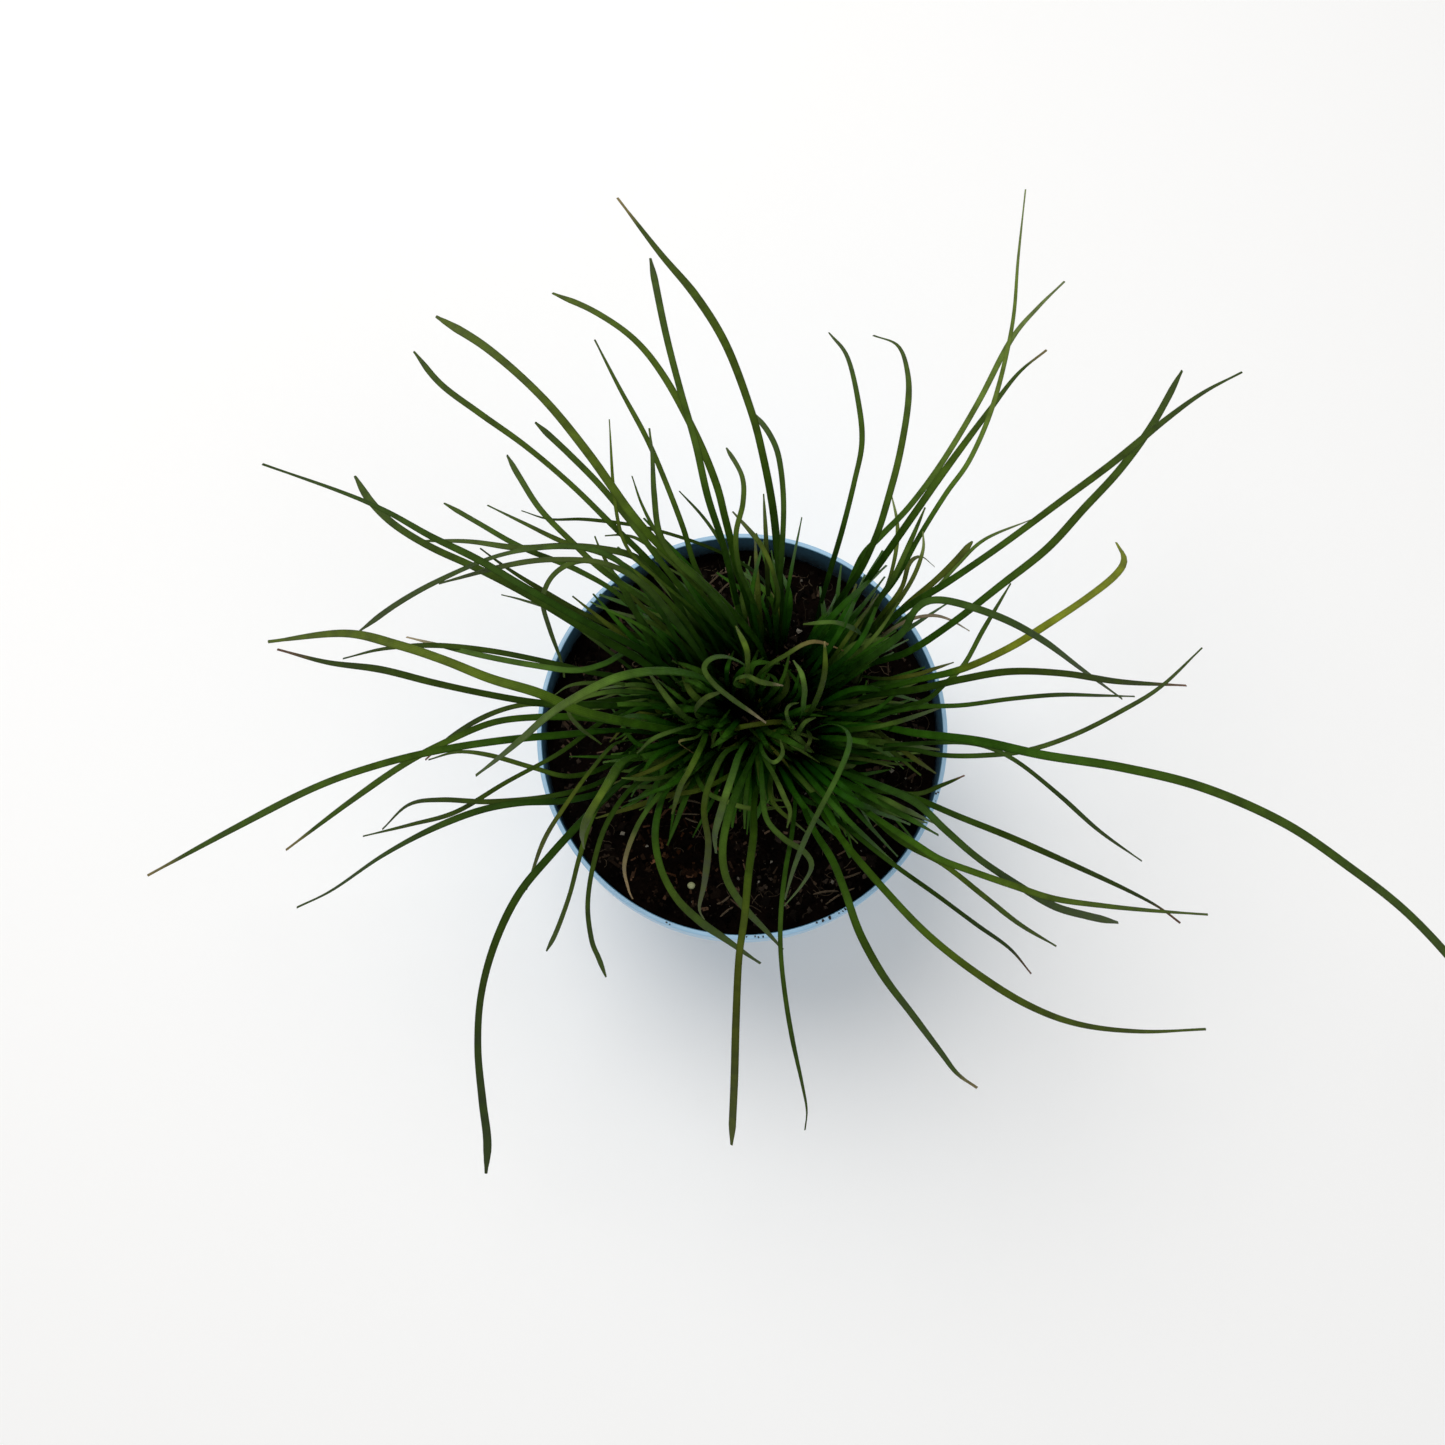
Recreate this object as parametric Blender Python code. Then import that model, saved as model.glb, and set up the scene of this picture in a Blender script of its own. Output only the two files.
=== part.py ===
"""Garlic chives in a round plastic pot: the pot, its soil, long single leaves and short tufts."""
import math
from collections import namedtuple

import bmesh
import bpy
import numpy as np
from mathutils import Vector
from mathutils.bvhtree import BVHTree

NAME = "potted_garlic_chives"
MM = 0.001

# Pot, in mm
POT_HEIGHT = 112.0
RIM_RADIUS = 65.0
BAND_DEPTH = 19.0
BAND_BOTTOM = POT_HEIGHT - BAND_DEPTH
BAND_STEP = 0.9
WALL = 1.6
WALL_STEP_TOP = BAND_BOTTOM + 1.4
WALL_STEP_BOTTOM = BAND_BOTTOM - 0.8
EDGE_ROUND = 0.5
EDGE_BEVEL = 0.6
BODY_TOP_RADIUS = 62.6
BASE_RADIUS = 46.0
FLOOR_TOP = 3.2
FLOOR_CORNER = 1.0
ARCH_HEIGHT = 1.4
FOOT_WIDTH = 2.4
PAD_RADIUS = 19.5
POT_STEPS = 48
HOLE_COUNT = 6
HOLE_RADIUS = 4.0
HOLE_RING_RADIUS = 32.0
HOLE_SIDES = 12
DRILL_DEPTH = 12.0

# Soil, in mm
SOIL_DEPTH_BELOW_RIM = 14.0
SOIL_RING_COUNT = 5
SOIL_STEPS = 32
SOIL_EDGE_DROP = 0.9
GAP = 0.3

# The eye that the leaf routes are seen from, in mm from the middle of the rim
EYE = np.array((-6.263, -93.647, 612.896))

# Leaves, in mm
LEAF_START = 0.7
LEAF_CLEARANCE = 0.35
POINT_SPACING = 12.0
ROUTE_SAMPLES = 400
FEWEST_POINTS = 6
MOST_POINTS = 16
KEEL_TOP = 0.09
KEEL_DEPTH = 0.2
RISE_POWER = 0.72
LEVEL_PULL = 1.0
CREST_STEP = 4.0
CREST_TRIES = 12
TUFT_CREST_TRIES = 24
LOWEST_CREST = 36.0
TIP_STEPS = (0.0, 12.0, -12.0, 24.0, -24.0)
TIP_STEP_COST = 0.8
ROOT_STEPS = (0.0, 2.0, 3.5)
ROOT_TURNS = 8
ROOT_STEP_COST = 7.0
SHEATH_HEIGHT = 11.0
SHEATH_RADIUS = 2.7
SHEATH_TOP_RADIUS = 1.5
SHEATH_SIDES = 8
ROOT_WIDTH = 0.62
ROOT_SHARE = 0.2
POINT_WIDTH = 0.35
POINT_POWER = 0.5
# The share of its length over which a leaf comes to its point: a blunt one, a middling one, a long one
BLUNT = 0.05
EVEN = 0.25
LONG = 0.45

SHARP_ANGLE = math.radians(30)

TONES = {
    "green": (0.045, 0.085, 0.010),
    "dark": (0.030, 0.060, 0.008),
    "bright": (0.065, 0.105, 0.012),
    "spring": (0.110, 0.165, 0.030),
    "yellow": (0.140, 0.170, 0.012),
    "pale": (0.060, 0.110, 0.018),
    "grey": (0.050, 0.080, 0.020),
    "olive": (0.065, 0.085, 0.014),
    "green_tan": (0.050, 0.088, 0.012),
    "pale_tan": (0.065, 0.105, 0.020),
    "tan_end": (0.090, 0.095, 0.030),
    "dark_brown": (0.040, 0.070, 0.010),
    "dry": (0.200, 0.170, 0.100),
}
POT_TONE = (0.36, 0.57, 0.77)
SOIL_TONE = (0.010, 0.007, 0.005)

Leaf = namedtuple("Leaf", "node width crest tip tone route point", defaults=(EVEN,))

# Each leaf: its node, width, crest and tip above the soil, tone, route from root to tip, and how it comes
# to its point. A width and a route are what the eye sees, in mm on the plane of the rim from the rim's
# middle, +X right and +Y up.
LEAVES = (
    Leaf("leaf_01", 2.5, 100, 30, "green",
         [(-15, 9.5), (-31, 22.5), (-51, 34), (-70, 45.5), (-85, 53.5), (-100, 60.5), (-112, 68),
          (-120, 76), (-125, 84)], BLUNT),
    Leaf("leaf_02", 2.4, 112, 35, "dark",
         [(-13, 12.5), (-31, 26), (-51, 36.5), (-70, 47.5), (-85, 56.5), (-100, 64), (-115, 72.5),
          (-130, 79), (-155, 88)], LONG),
    Leaf("leaf_03", 2.2, 92, 50, "grey",
         [(-9, 19.5), (-16, 33), (-24, 48), (-34, 57), (-46, 60), (-58, 60.8), (-72, 60.2), (-88, 62.3),
          (-105, 62.5)]),
    Leaf("leaf_04", 1.9, 128, 25, "grey",
         [(-12, 16.5), (-20, 29), (-29, 44), (-40, 56), (-52, 60.5), (-66, 60), (-80, 57), (-97, 49.5),
          (-110, 42), (-122, 33)], BLUNT),
    Leaf("leaf_05", 1.8, 88, 45, "green",
         [(-17, 13), (-27, 29), (-38, 43.5), (-53, 53), (-71, 60.5), (-85, 68.5), (-96, 75)], BLUNT),
    Leaf("leaf_06", 2.0, 115, 75, "green",
         [(-8.5, 23.5), (-18, 33), (-31, 43), (-45, 53), (-55, 62.5), (-65, 73), (-72, 84),
          (-76, 91)], BLUNT),
    Leaf("leaf_07", 2.1, 150, 60, "pale",
         [(-21.5, 14.5), (-28, 27), (-36, 43), (-41, 51), (-48, 55.7), (-55, 55), (-61, 50.5), (-63.7, 43),
          (-61.5, 34), (-57.5, 23), (-56.5, 18)]),
    Leaf("leaf_08", 2.0, 106, 40, "green",
         [(-5, 20), (-10, 31), (-19, 43), (-30, 56), (-41, 67), (-55, 81), (-70, 94), (-85, 105),
          (-98, 115), (-107, 126)], BLUNT),
    Leaf("leaf_09", 2.8, 126, 35, "bright",
         [(8.5, 20), (5, 29), (-3, 39), (-14, 50), (-26, 60.5), (-36, 72), (-50, 92), (-65, 110.5),
          (-83, 127), (-100, 138)], BLUNT),
    Leaf("leaf_10", 2.0, 120, 85, "green",
         [(-1, 19), (0.5, 27), (-4, 38), (-12, 47.5), (-21, 56), (-26.5, 65), (-28.3, 78), (-29, 91),
          (-30, 100)]),
    Leaf("leaf_11", 1.8, 98, 60, "green",
         [(4.5, 23.5), (-1, 33), (-9, 43), (-15, 54), (-19, 67), (-25, 83), (-31, 97), (-40, 114),
          (-48, 130)]),
    Leaf("leaf_12", 2.6, 135, 60, "green_tan",
         [(12.5, 28), (12.8, 40), (11.7, 55), (10, 73), (7, 90), (3, 106), (-5, 128), (-15, 145),
          (-27, 160), (-41, 179)]),
    Leaf("leaf_13", 2.3, 122, 70, "green",
         [(1, 30.5), (-2, 44), (-6, 61), (-11, 77), (-15, 95), (-20, 113), (-25, 133), (-30, 158)], BLUNT),
    Leaf("leaf_14", 2.4, 108, 55, "bright",
         [(5, 27), (2, 41), (-2, 56), (-5.4, 70), (-8.5, 82), (-15, 98), (-25, 117), (-35, 130),
          (-48, 139.5), (-62, 146)], BLUNT),
    Leaf("leaf_15", 1.8, 118, 75, "green",
         [(23, 33), (25.2, 42), (28.5, 53.5), (32.5, 67), (36.3, 82), (38.9, 95), (38, 108), (34.5, 124),
          (28.5, 132.5)], BLUNT),
    Leaf("leaf_16", 2.2, 130, 70, "green",
         [(26, 34.5), (31, 43), (38, 53), (43.5, 65), (47, 76), (51, 91), (54, 108), (54, 119), (51, 128),
          (43, 131.5)]),
    Leaf("leaf_17", 2.0, 105, 50, "spring",
         [(28, 30.5), (32, 42), (38, 56.5), (44.5, 64), (54, 74), (65, 89), (77, 109), (88, 130), (97, 141),
          (106, 150)]),
    Leaf("leaf_18", 2.4, 114, 65, "green_tan",
         [(31.5, 32), (36.5, 44), (45, 56.3), (54.5, 70), (66, 86.5), (80, 105.5), (90, 118.5),
          (99.5, 126.5)], LONG),
    Leaf("leaf_19", 1.6, 122, 60, "spring",
         [(34, 33.5), (41, 40), (49, 49.5), (57, 64), (65.7, 78), (74, 90), (82, 109), (88.5, 135),
          (91, 158), (94, 182)], LONG),
    Leaf("leaf_20", 2.3, 118, 30, "green",
         [(33, 20.5), (40, 29), (51, 39.5), (66, 49), (84, 61.5), (102, 75), (120, 88.5), (137, 102.5),
          (150, 112), (163, 119)]),
    Leaf("leaf_21", 2.5, 100, 35, "green",
         [(30, 16.5), (41, 22.3), (53, 26.3), (67, 35.5), (83, 48), (98, 60), (110, 73), (122, 86),
          (133, 101), (143.5, 119.5)], BLUNT),
    Leaf("leaf_22", 2.4, 132, 25, "grey",
         [(26, 14.5), (34, 20.5), (44, 26.5), (51.5, 33), (55.5, 40), (61, 43), (70, 41.8), (84, 36.7),
          (96, 29.8), (108, 20.5), (120.5, 11)]),
    Leaf("leaf_23", 2.4, 104, 45, "yellow",
         [(29.5, 13), (42, 14), (56, 17.2), (70, 20.7), (85, 27.5), (98, 35.5), (110, 43.5), (119.2, 50.8),
          (122.6, 56.3), (120.2, 62)], BLUNT),
    Leaf("leaf_24", 2.3, 96, 20, "dark_brown",
         [(30, 9), (42, 12.2), (56, 14.2), (70, 17.4), (85, 19.8), (102, 19.2), (120, 16.5), (141, 15.3)]),
    Leaf("leaf_25", 1.5, 102, 35, "green",
         [(31.5, 3.8), (42, 5.4), (55.8, 8.3), (70, 9), (85, 11), (100, 12.3), (113, 12.1), (124.5, 11.8)]),
    Leaf("leaf_26", 1.6, 84, 30, "grey",
         [(28, -5), (39, -5.5), (52, -5), (63, -7), (76, -7.1), (90, -5.5), (105, -0.5), (120, 7),
          (133, 15), (146.5, 27.5)]),
    Leaf("leaf_27", 2.9, 120, -25, "green",
         [(27.5, 0.5), (40, 2.6), (55, 0), (75, -2.6), (95, -7), (120, -11), (145, -17.3), (170, -28.5),
          (190, -42.5), (207, -56.5), (222, -73.5), (233, -90)], BLUNT),
    Leaf("leaf_28", 1.5, 98, 35, "grey",
         [(31, -2), (42, -3.8), (57, -3.2), (70, -3), (79, -5), (88, -10), (100, -20), (112, -31),
          (125, -40.5)]),
    Leaf("leaf_29", 2.1, 92, 20, "dark_brown",
         [(28, -8.5), (38, -14), (47, -18), (56, -21.3), (68, -26.5), (84, -33), (103, -41.5), (120, -49.5),
          (130, -55), (136.3, -59.8)], LONG),
    Leaf("leaf_30", 2.4, 128, 30, "grey",
         [(24.5, -9.5), (34, -13.5), (45, -17.5), (55, -22.5), (64, -31), (74, -39.8), (86, -48),
          (97, -54.5), (107, -57.5), (117, -59.7)], BLUNT),
    Leaf("leaf_31", 2.2, 106, 20, "bright",
         [(27, -16), (36, -22.5), (45, -29), (54, -35), (62, -40), (72, -43.8), (84, -48), (97, -52.2),
          (112, -54.4), (128, -56), (145, -57.2)], LONG),
    Leaf("leaf_32", 1.5, 86, 25, "dark_brown",
         [(20.5, -18.5), (28.7, -26.5), (39.2, -35.3), (49.5, -43.2), (60, -50.7), (72.8, -60.3),
          (83, -67.7), (89.5, -75.5)]),
    Leaf("leaf_33", 2.4, 112, 5, "bright",
         [(21, -13.5), (24, -23.3), (32, -34.8), (43.5, -48.5), (57, -62.9), (72, -75), (88, -85),
          (104, -91), (123, -93.2), (143, -92.5)], LONG),
    Leaf("leaf_34", 2.5, 118, 15, "green_tan",
         [(16.5, -17), (22, -30), (28, -40), (32, -50), (36.5, -63), (43.5, -76), (52, -87.5), (61, -99.5),
          (66, -106), (72, -110.3)]),
    Leaf("leaf_35", 1.5, 104, 45, "green",
         [(13.5, -10.5), (16.5, -20), (15.5, -32), (13.5, -43), (12, -56), (11.8, -68), (13, -81),
          (15.2, -95), (18.2, -109), (19.6, -117), (19, -123)]),
    Leaf("leaf_36", 2.4, 120, 40, "olive",
         [(6.5, -11), (3.8, -21.6), (3.5, -32), (1.8, -45), (0.6, -58), (-1.2, -71), (-2.1, -90),
          (-2.6, -108), (-3.5, -127.5)], BLUNT),
    Leaf("leaf_37", 2.4, 98, 30, "green",
         [(-19, -13.5), (-25, -20.5), (-27.4, -32), (-25.5, -43), (-20.5, -52.3), (-13, -59.5),
          (-5.5, -64.7), (1.3, -69.5), (5.5, -72.3)]),
    Leaf("leaf_38", 2.5, 114, 0, "dark",
         [(-27, -6.5), (-37, -15), (-49, -26.5), (-60, -38.5), (-70, -51), (-77, -66), (-81, -82),
          (-81.7, -98), (-80, -114), (-78.3, -126), (-78.5, -136)], BLUNT),
    Leaf("leaf_39", 2.2, 100, 10, "dark",
         [(-29, -10.5), (-42, -18), (-56, -21.5), (-70, -22.2), (-83, -24.7), (-98, -30.7), (-113, -39),
          (-128, -49.5), (-139, -55)], LONG),
    Leaf("leaf_40", 2.4, 100, -20, "green_tan",
         [(-21, -1.5), (-38, 0.9), (-56.5, -0.5), (-75, -2.2), (-95, -5.3), (-115, -10.2), (-135, -17.5),
          (-160, -30.5), (-186, -45)]),
    Leaf("leaf_41", 2.2, 92, 15, "green_tan",
         [(-18.5, 2), (-34, 2.8), (-50, 5), (-66, 5.1), (-79, 3.4), (-92, -2), (-106, -9.5), (-123, -21.5),
          (-143, -37)]),
    Leaf("leaf_42", 3.1, 122, 30, "bright",
         [(-12, 0), (-24, 1.3), (-40, 4.2), (-53, 7.7), (-65, 13), (-80, 17.5), (-95, 23.5), (-110, 28.5),
          (-127, 32.2), (-151, 29.5)]),
    Leaf("leaf_43", 2.3, 106, 25, "dark_brown",
         [(-22, 6), (-38, 8.6), (-54, 9.2), (-66, 9.9), (-82, 12.7), (-98, 16.2), (-115, 20.5),
          (-132, 22.8), (-148, 27)]),
    Leaf("leaf_44", 2.8, 152, 60, "pale",
         [(-4, 11.5), (-13, 17.8), (-25, 20), (-38.7, 18.2), (-51, 12.5), (-61, 6), (-69, -1.2), (-77, -8),
          (-84, -13.5)]),

    Leaf("tuft_01", 1.7, 92, 55, "dark",
         [(-6, 15.5), (-20, 25.5), (-36, 32.3), (-51, 38.8), (-66, 47.5), (-76, 54), (-84, 60)]),
    Leaf("tuft_01", 2.2, 118, 60, "grey",
         [(-6, 15.5), (-18, 32), (-31, 47.5), (-44, 55), (-60, 56.3), (-75, 54.5), (-97, 48.5)]),
    Leaf("tuft_01", 1.7, 100, 60, "green",
         [(-6, 15.5), (-14, 31), (-27, 46), (-42, 57), (-57, 62), (-70, 68.3), (-82, 74.3)]),
    Leaf("tuft_01", 1.6, 80, 76, "green",
         [(-6, 15.5), (-17, 27), (-30, 39), (-40, 50), (-45, 58.5), (-47.3, 64)]),

    Leaf("tuft_02", 2.0, 106, 70, "green",
         [(1.5, 24), (-9, 35), (-21, 49), (-33, 65), (-45, 80), (-56, 91.5), (-67, 102)], BLUNT),
    Leaf("tuft_02", 1.3, 90, 84, "green",
         [(1.5, 24), (-5, 38), (-16, 51), (-26, 63), (-32, 74), (-35.5, 84)]),
    Leaf("tuft_02", 1.2, 112, 95, "bright",
         [(1.5, 24), (-12, 37), (-27, 50), (-37, 60.5), (-41, 76), (-43, 103)]),
    Leaf("tuft_02", 1.4, 76, 58, "green",
         [(1.5, 24), (-9, 40.5), (-21, 54), (-32, 62.3), (-38, 64.4), (-44, 64.2)]),

    Leaf("tuft_03", 1.9, 126, 90, "green",
         [(8.5, 32), (11.2, 45), (12.8, 60), (13.4, 76), (12, 90), (9, 98), (4, 105)], BLUNT),
    Leaf("tuft_03", 1.5, 100, 98, "grey",
         [(8.5, 32), (8.3, 46), (7.8, 62), (7, 78)]),
    Leaf("tuft_03", 1.7, 112, 84, "olive",
         [(8.5, 32), (11.5, 43), (9.7, 53), (6.5, 60.5), (2.8, 65.5), (-3, 72.2)]),
    Leaf("tuft_03", 1.3, 86, 60, "dark",
         [(8.5, 32), (2.5, 42), (-2.5, 53), (-7.5, 63), (-13, 71), (-20.2, 79)]),
    Leaf("tuft_03", 1.7, 132, 104, "green",
         [(8.5, 32), (3.5, 43), (-1, 54), (-1.9, 65), (0.3, 75), (0, 84), (-5, 93.5)], BLUNT),
    Leaf("tuft_03", 1.2, 74, 45, "dark",
         [(8.5, 32), (9, 43), (5, 51), (-4, 57.3), (-17, 62.8), (-33, 67.3), (-50, 69.6), (-62, 69.7),
          (-71, 72.5)]),

    Leaf("tuft_04", 1.8, 112, 100, "green",
         [(37, 28.5), (42.5, 41), (48.5, 50.5), (53.8, 61.5), (59, 73.5)]),
    Leaf("tuft_04", 1.3, 86, 80, "spring",
         [(37, 28.5), (42, 39), (46.5, 48), (49.3, 58.5), (50, 68), (48.2, 78)]),
    Leaf("tuft_04", 1.6, 96, 62, "olive",
         [(37, 28.5), (44.5, 38), (51, 47), (53.6, 55), (57.5, 57.3), (61.7, 54)]),
    Leaf("tuft_04", 1.5, 122, 100, "spring",
         [(37, 28.5), (46, 37.5), (54, 49), (58, 59), (58.2, 65.5)]),
    Leaf("tuft_04", 2.0, 108, 92, "olive",
         [(37, 28.5), (46, 35.5), (54, 42.8), (62, 49.5), (68.5, 56), (74, 62.3)], BLUNT),
    Leaf("tuft_04", 1.2, 84, 58, "spring",
         [(37, 28.5), (49, 35), (60, 44.5), (69, 54.5), (78, 63), (93, 69.5)]),
    Leaf("tuft_04", 1.7, 112, 92, "pale",
         [(37, 28.5), (38.7, 31.3), (35.5, 33.8), (29, 35.8), (19.5, 35.2)]),

    Leaf("tuft_05", 1.1, 92, 58, "dry",
         [(36, 18), (43, 29.5), (52, 36), (60, 38), (66, 36.8), (72.5, 33)]),
    Leaf("tuft_05", 1.3, 66, 52, "olive",
         [(36, 18), (46, 17.5), (55, 18.8), (61, 20.7), (67.3, 22.8)]),

    Leaf("tuft_06", 1.4, 92, 70, "tan_end",
         [(2, 12.5), (7, 20.5), (14, 25.2), (20, 28.8), (25, 29.3), (33, 26.3)]),
    Leaf("tuft_06", 1.9, 146, 84, "pale_tan",
         [(2, 12.5), (1.5, 20.5), (-4, 24.3), (-9.5, 24.1), (-12.1, 20.8), (-9, 15.8), (-3, 10.8), (3, 6.6),
          (7.5, 3.3)]),
    Leaf("tuft_06", 1.7, 112, 84, "pale_tan",
         [(2, 12.5), (-2.5, 16.5), (1.5, 18.3), (6, 16.4), (13, 15.3)]),
    Leaf("tuft_06", 1.8, 124, 112, "bright",
         [(2, 12.5), (1.6, 20), (1.4, 27), (-2, 34.6)]),

    Leaf("tuft_07", 1.8, 138, 134, "green_tan",
         [(19.5, 2.5), (22.5, 8.5), (25, 14.5), (26.4, 21), (26.3, 29.5)]),
    Leaf("tuft_07", 1.8, 132, 58, "pale",
         [(19.5, 2.5), (27, 4), (32.5, 1.5), (33.7, -4), (30, -13.5), (24.2, -24.5), (19.5, -34),
          (15.8, -43.5), (13.2, -52.5)]),
    Leaf("tuft_07", 1.7, 126, 116, "pale",
         [(19.5, 2.5), (19.4, 9.5), (19.8, 14), (18.8, 19.3), (16.3, 23.4)]),
    Leaf("tuft_07", 1.4, 82, 76, "pale",
         [(19.5, 2.5), (17.2, -0.5), (20, 3.6), (23.2, 5)]),
    Leaf("tuft_07", 1.3, 98, 72, "pale",
         [(19.5, 2.5), (15.5, 2.8), (14, 6.6), (15.2, 9), (18, 9.8)]),
    Leaf("tuft_07", 1.4, 66, 58, "grey",
         [(19.5, 2.5), (21.5, -1.5), (19.5, -6)]),

    Leaf("tuft_08", 1.6, 88, 66, "green",
         [(36, 7.5), (48, 8.2), (58, 10.5), (64, 15.5), (70.7, 22.3), (77, 33.5), (86, 48.5)]),
    Leaf("tuft_08", 1.6, 58, 42, "olive",
         [(36, 7.5), (43, 0.5), (52, -6.5), (61, -12.8)]),

    Leaf("tuft_09", 1.8, 100, 40, "bright",
         [(32.5, -17.5), (41.5, -27.5), (52, -35.7), (63, -41.6), (75, -51.2), (86, -60), (97.5, -67)]),
    Leaf("tuft_09", 1.6, 74, 50, "pale",
         [(32.5, -17.5), (42, -23.3), (51, -26.6), (58, -28.5)]),
    Leaf("tuft_09", 1.8, 86, 58, "pale",
         [(32.5, -17.5), (42, -19.8), (51, -24.2), (60, -28.5)]),
    Leaf("tuft_09", 1.5, 60, 54, "dark_brown",
         [(32.5, -17.5), (43, -18.5), (55, -19.3), (63, -16.5), (70, -13.5)]),

    Leaf("tuft_10", 1.8, 94, 36, "dark_brown",
         [(-23, 11), (-40, 10.5), (-56, 8.8), (-68, 9.3), (-80, 6), (-92, -1), (-100, -8.5)]),
    Leaf("tuft_10", 1.5, 80, 18, "green",
         [(-23, 11), (-36, 7.5), (-46, 2.5), (-58, -6.5), (-74.5, -15.7), (-90, -25), (-104, -29),
          (-119, -32.7)]),
    Leaf("tuft_10", 1.9, 96, 46, "pale_tan",
         [(-23, 11), (-30, 21), (-36, 26), (-44, 22.3), (-53, 20.2), (-66, 21.8), (-84, 25.3), (-107, 31)]),
    Leaf("tuft_10", 1.8, 78, 30, "dark",
         [(-23, 11), (-36, 17), (-48, 19.5), (-61, 22.7), (-80, 26.5), (-98, 28.3), (-114, 27.2),
          (-127, 24)]),
    Leaf("tuft_10", 1.2, 66, 30, "grey",
         [(-23, 11), (-35, 20.5), (-47, 30), (-59, 39), (-70, 43), (-77, 44.8)]),
    Leaf("tuft_10", 1.6, 110, 66, "pale",
         [(-23, 11), (-38, 13.5), (-50, 11.5), (-55, 7.5), (-51.5, 2), (-44.5, -3.5)]),
    Leaf("tuft_10", 1.2, 64, 52, "pale",
         [(-23, 11), (-36, 15.5), (-48, 16.2), (-55, 15.2), (-59.5, 12.3)]),

    Leaf("tuft_11", 1.7, 84, 22, "dark",
         [(-31, -4.5), (-45, -15.5), (-60, -20), (-79, -21.8), (-95, -21.2), (-105, -22.8), (-113, -30.5)]),
    Leaf("tuft_11", 1.6, 64, 30, "green",
         [(-31, -4.5), (-43, -11), (-55, -13.7), (-66, -11), (-80, -7), (-90, -6), (-99, -8.5)]),
    Leaf("tuft_11", 1.4, 98, 40, "olive",
         [(-31, -4.5), (-40, -4), (-47.5, -11.5), (-56, -23.5), (-62.5, -34.5), (-67.5, -49.5)]),
    Leaf("tuft_11", 2.7, 116, 60, "bright",
         [(-31, -4.5), (-38, -9), (-43, -17), (-48.5, -26.5), (-50.3, -32), (-49.7, -36.5)]),
    Leaf("tuft_11", 1.5, 86, 28, "green",
         [(-31, -4.5), (-40, -14.5), (-47, -26.5), (-51, -39), (-54, -51), (-58, -62.5),
          (-61, -68.5)], BLUNT),

    Leaf("tuft_12", 1.6, 84, 30, "green",
         [(-17, -8.5), (-33, -16), (-42, -27.5), (-46.5, -41), (-48.3, -54), (-47, -65), (-44.8, -70.5),
          (-42.4, -76.5)], BLUNT),
    Leaf("tuft_12", 1.6, 70, 12, "tan_end",
         [(-17, -8.5), (-27, -20.5), (-33, -29.5), (-36.9, -41), (-35.7, -49), (-34.3, -52.3)]),
    Leaf("tuft_12", 1.6, 60, 48, "pale",
         [(-17, -8.5), (-12, -18), (-5, -21.7), (3, -24), (13.8, -23.4)]),
    Leaf("tuft_12", 1.4, 74, 62, "pale",
         [(-17, -8.5), (-22, -13), (-29, -14.6), (-38, -14.3)]),

    Leaf("tuft_13", 2.1, 84, 44, "bright",
         [(-10.5, 4), (-12.5, -3), (-16.5, -11.5), (-19.6, -17.3), (-22.1, -25.7)]),
    Leaf("tuft_13", 0.9, 70, 56, "tan_end",
         [(-10.5, 4), (-14, -1), (-20, -2.8), (-15.5, -6.3)]),
    Leaf("tuft_13", 1.8, 62, 56, "olive",
         [(-10.5, 4), (-5.5, 1.2), (2, 2.4), (10, 3.5), (17.8, 3.5)]),
    Leaf("tuft_13", 1.4, 88, 78, "pale",
         [(-10.5, 4), (-20, 1.3), (-28, -1.7), (-33.3, -6.5)]),
    Leaf("tuft_13", 1.8, 96, 90, "grey",
         [(-10.5, 4), (-15, 6.5), (-12, 11), (-6, 13.5)]),

    Leaf("tuft_14", 2.3, 132, 74, "pale",
         [(4, -3.5), (3.2, -3.8), (-1, -8), (-4, -16), (-6.5, -24), (-8.6, -32), (-8.3, -38)]),
    Leaf("tuft_14", 2.4, 104, 40, "green",
         [(4, -3.5), (0, -14), (-4, -25), (-6.2, -36), (-5, -46), (0.5, -55), (6.6, -61.5), (12.5, -68)]),
    Leaf("tuft_14", 2.0, 116, 24, "olive",
         [(4, -3.5), (-4.5, -6), (-9.8, -14.5), (-12.1, -24), (-10.7, -35), (-11.8, -46.7), (-13.5, -55),
          (-12, -58.7)]),
    Leaf("tuft_14", 1.8, 94, 40, "pale",
         [(4, -3.5), (6, -16), (7.5, -27), (13, -33.5), (19, -37.3), (21.6, -42), (18.5, -48),
          (13, -54.5)]),
    Leaf("tuft_14", 1.7, 86, 68, "pale",
         [(4, -3.5), (9.5, -12.5), (13.2, -20.5), (15, -25), (14, -30)]),
    Leaf("tuft_14", 1.5, 68, 60, "green",
         [(4, -3.5), (5.5, -13), (7.6, -22.5)]),
    Leaf("tuft_14", 1.4, 106, 74, "pale",
         [(4, -3.5), (7, -7), (10, -9.3), (12.7, -6.5), (12, -2)]),
    Leaf("tuft_14", 1.7, 62, 38, "olive",
         [(4, -3.5), (-3, -12.5), (-13.5, -18), (-23, -19.7), (-35, -23.7), (-46, -27)]),
)


def clear_scene():
    for thing in list(bpy.data.objects):
        bpy.data.objects.remove(thing)


def new_collection(name):
    group = bpy.data.collections.new(name)
    bpy.context.scene.collection.children.link(group)
    return group


def material(name, colour, roughness):
    coat = bpy.data.materials.get(name)
    if coat:
        return coat
    coat = bpy.data.materials.new(name)
    coat.use_nodes = True
    shader = coat.node_tree.nodes["Principled BSDF"]
    shader.inputs["Base Color"].default_value = (*colour, 1.0)
    shader.inputs["Roughness"].default_value = roughness
    shader.inputs["Metallic"].default_value = 0.0
    return coat


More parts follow.
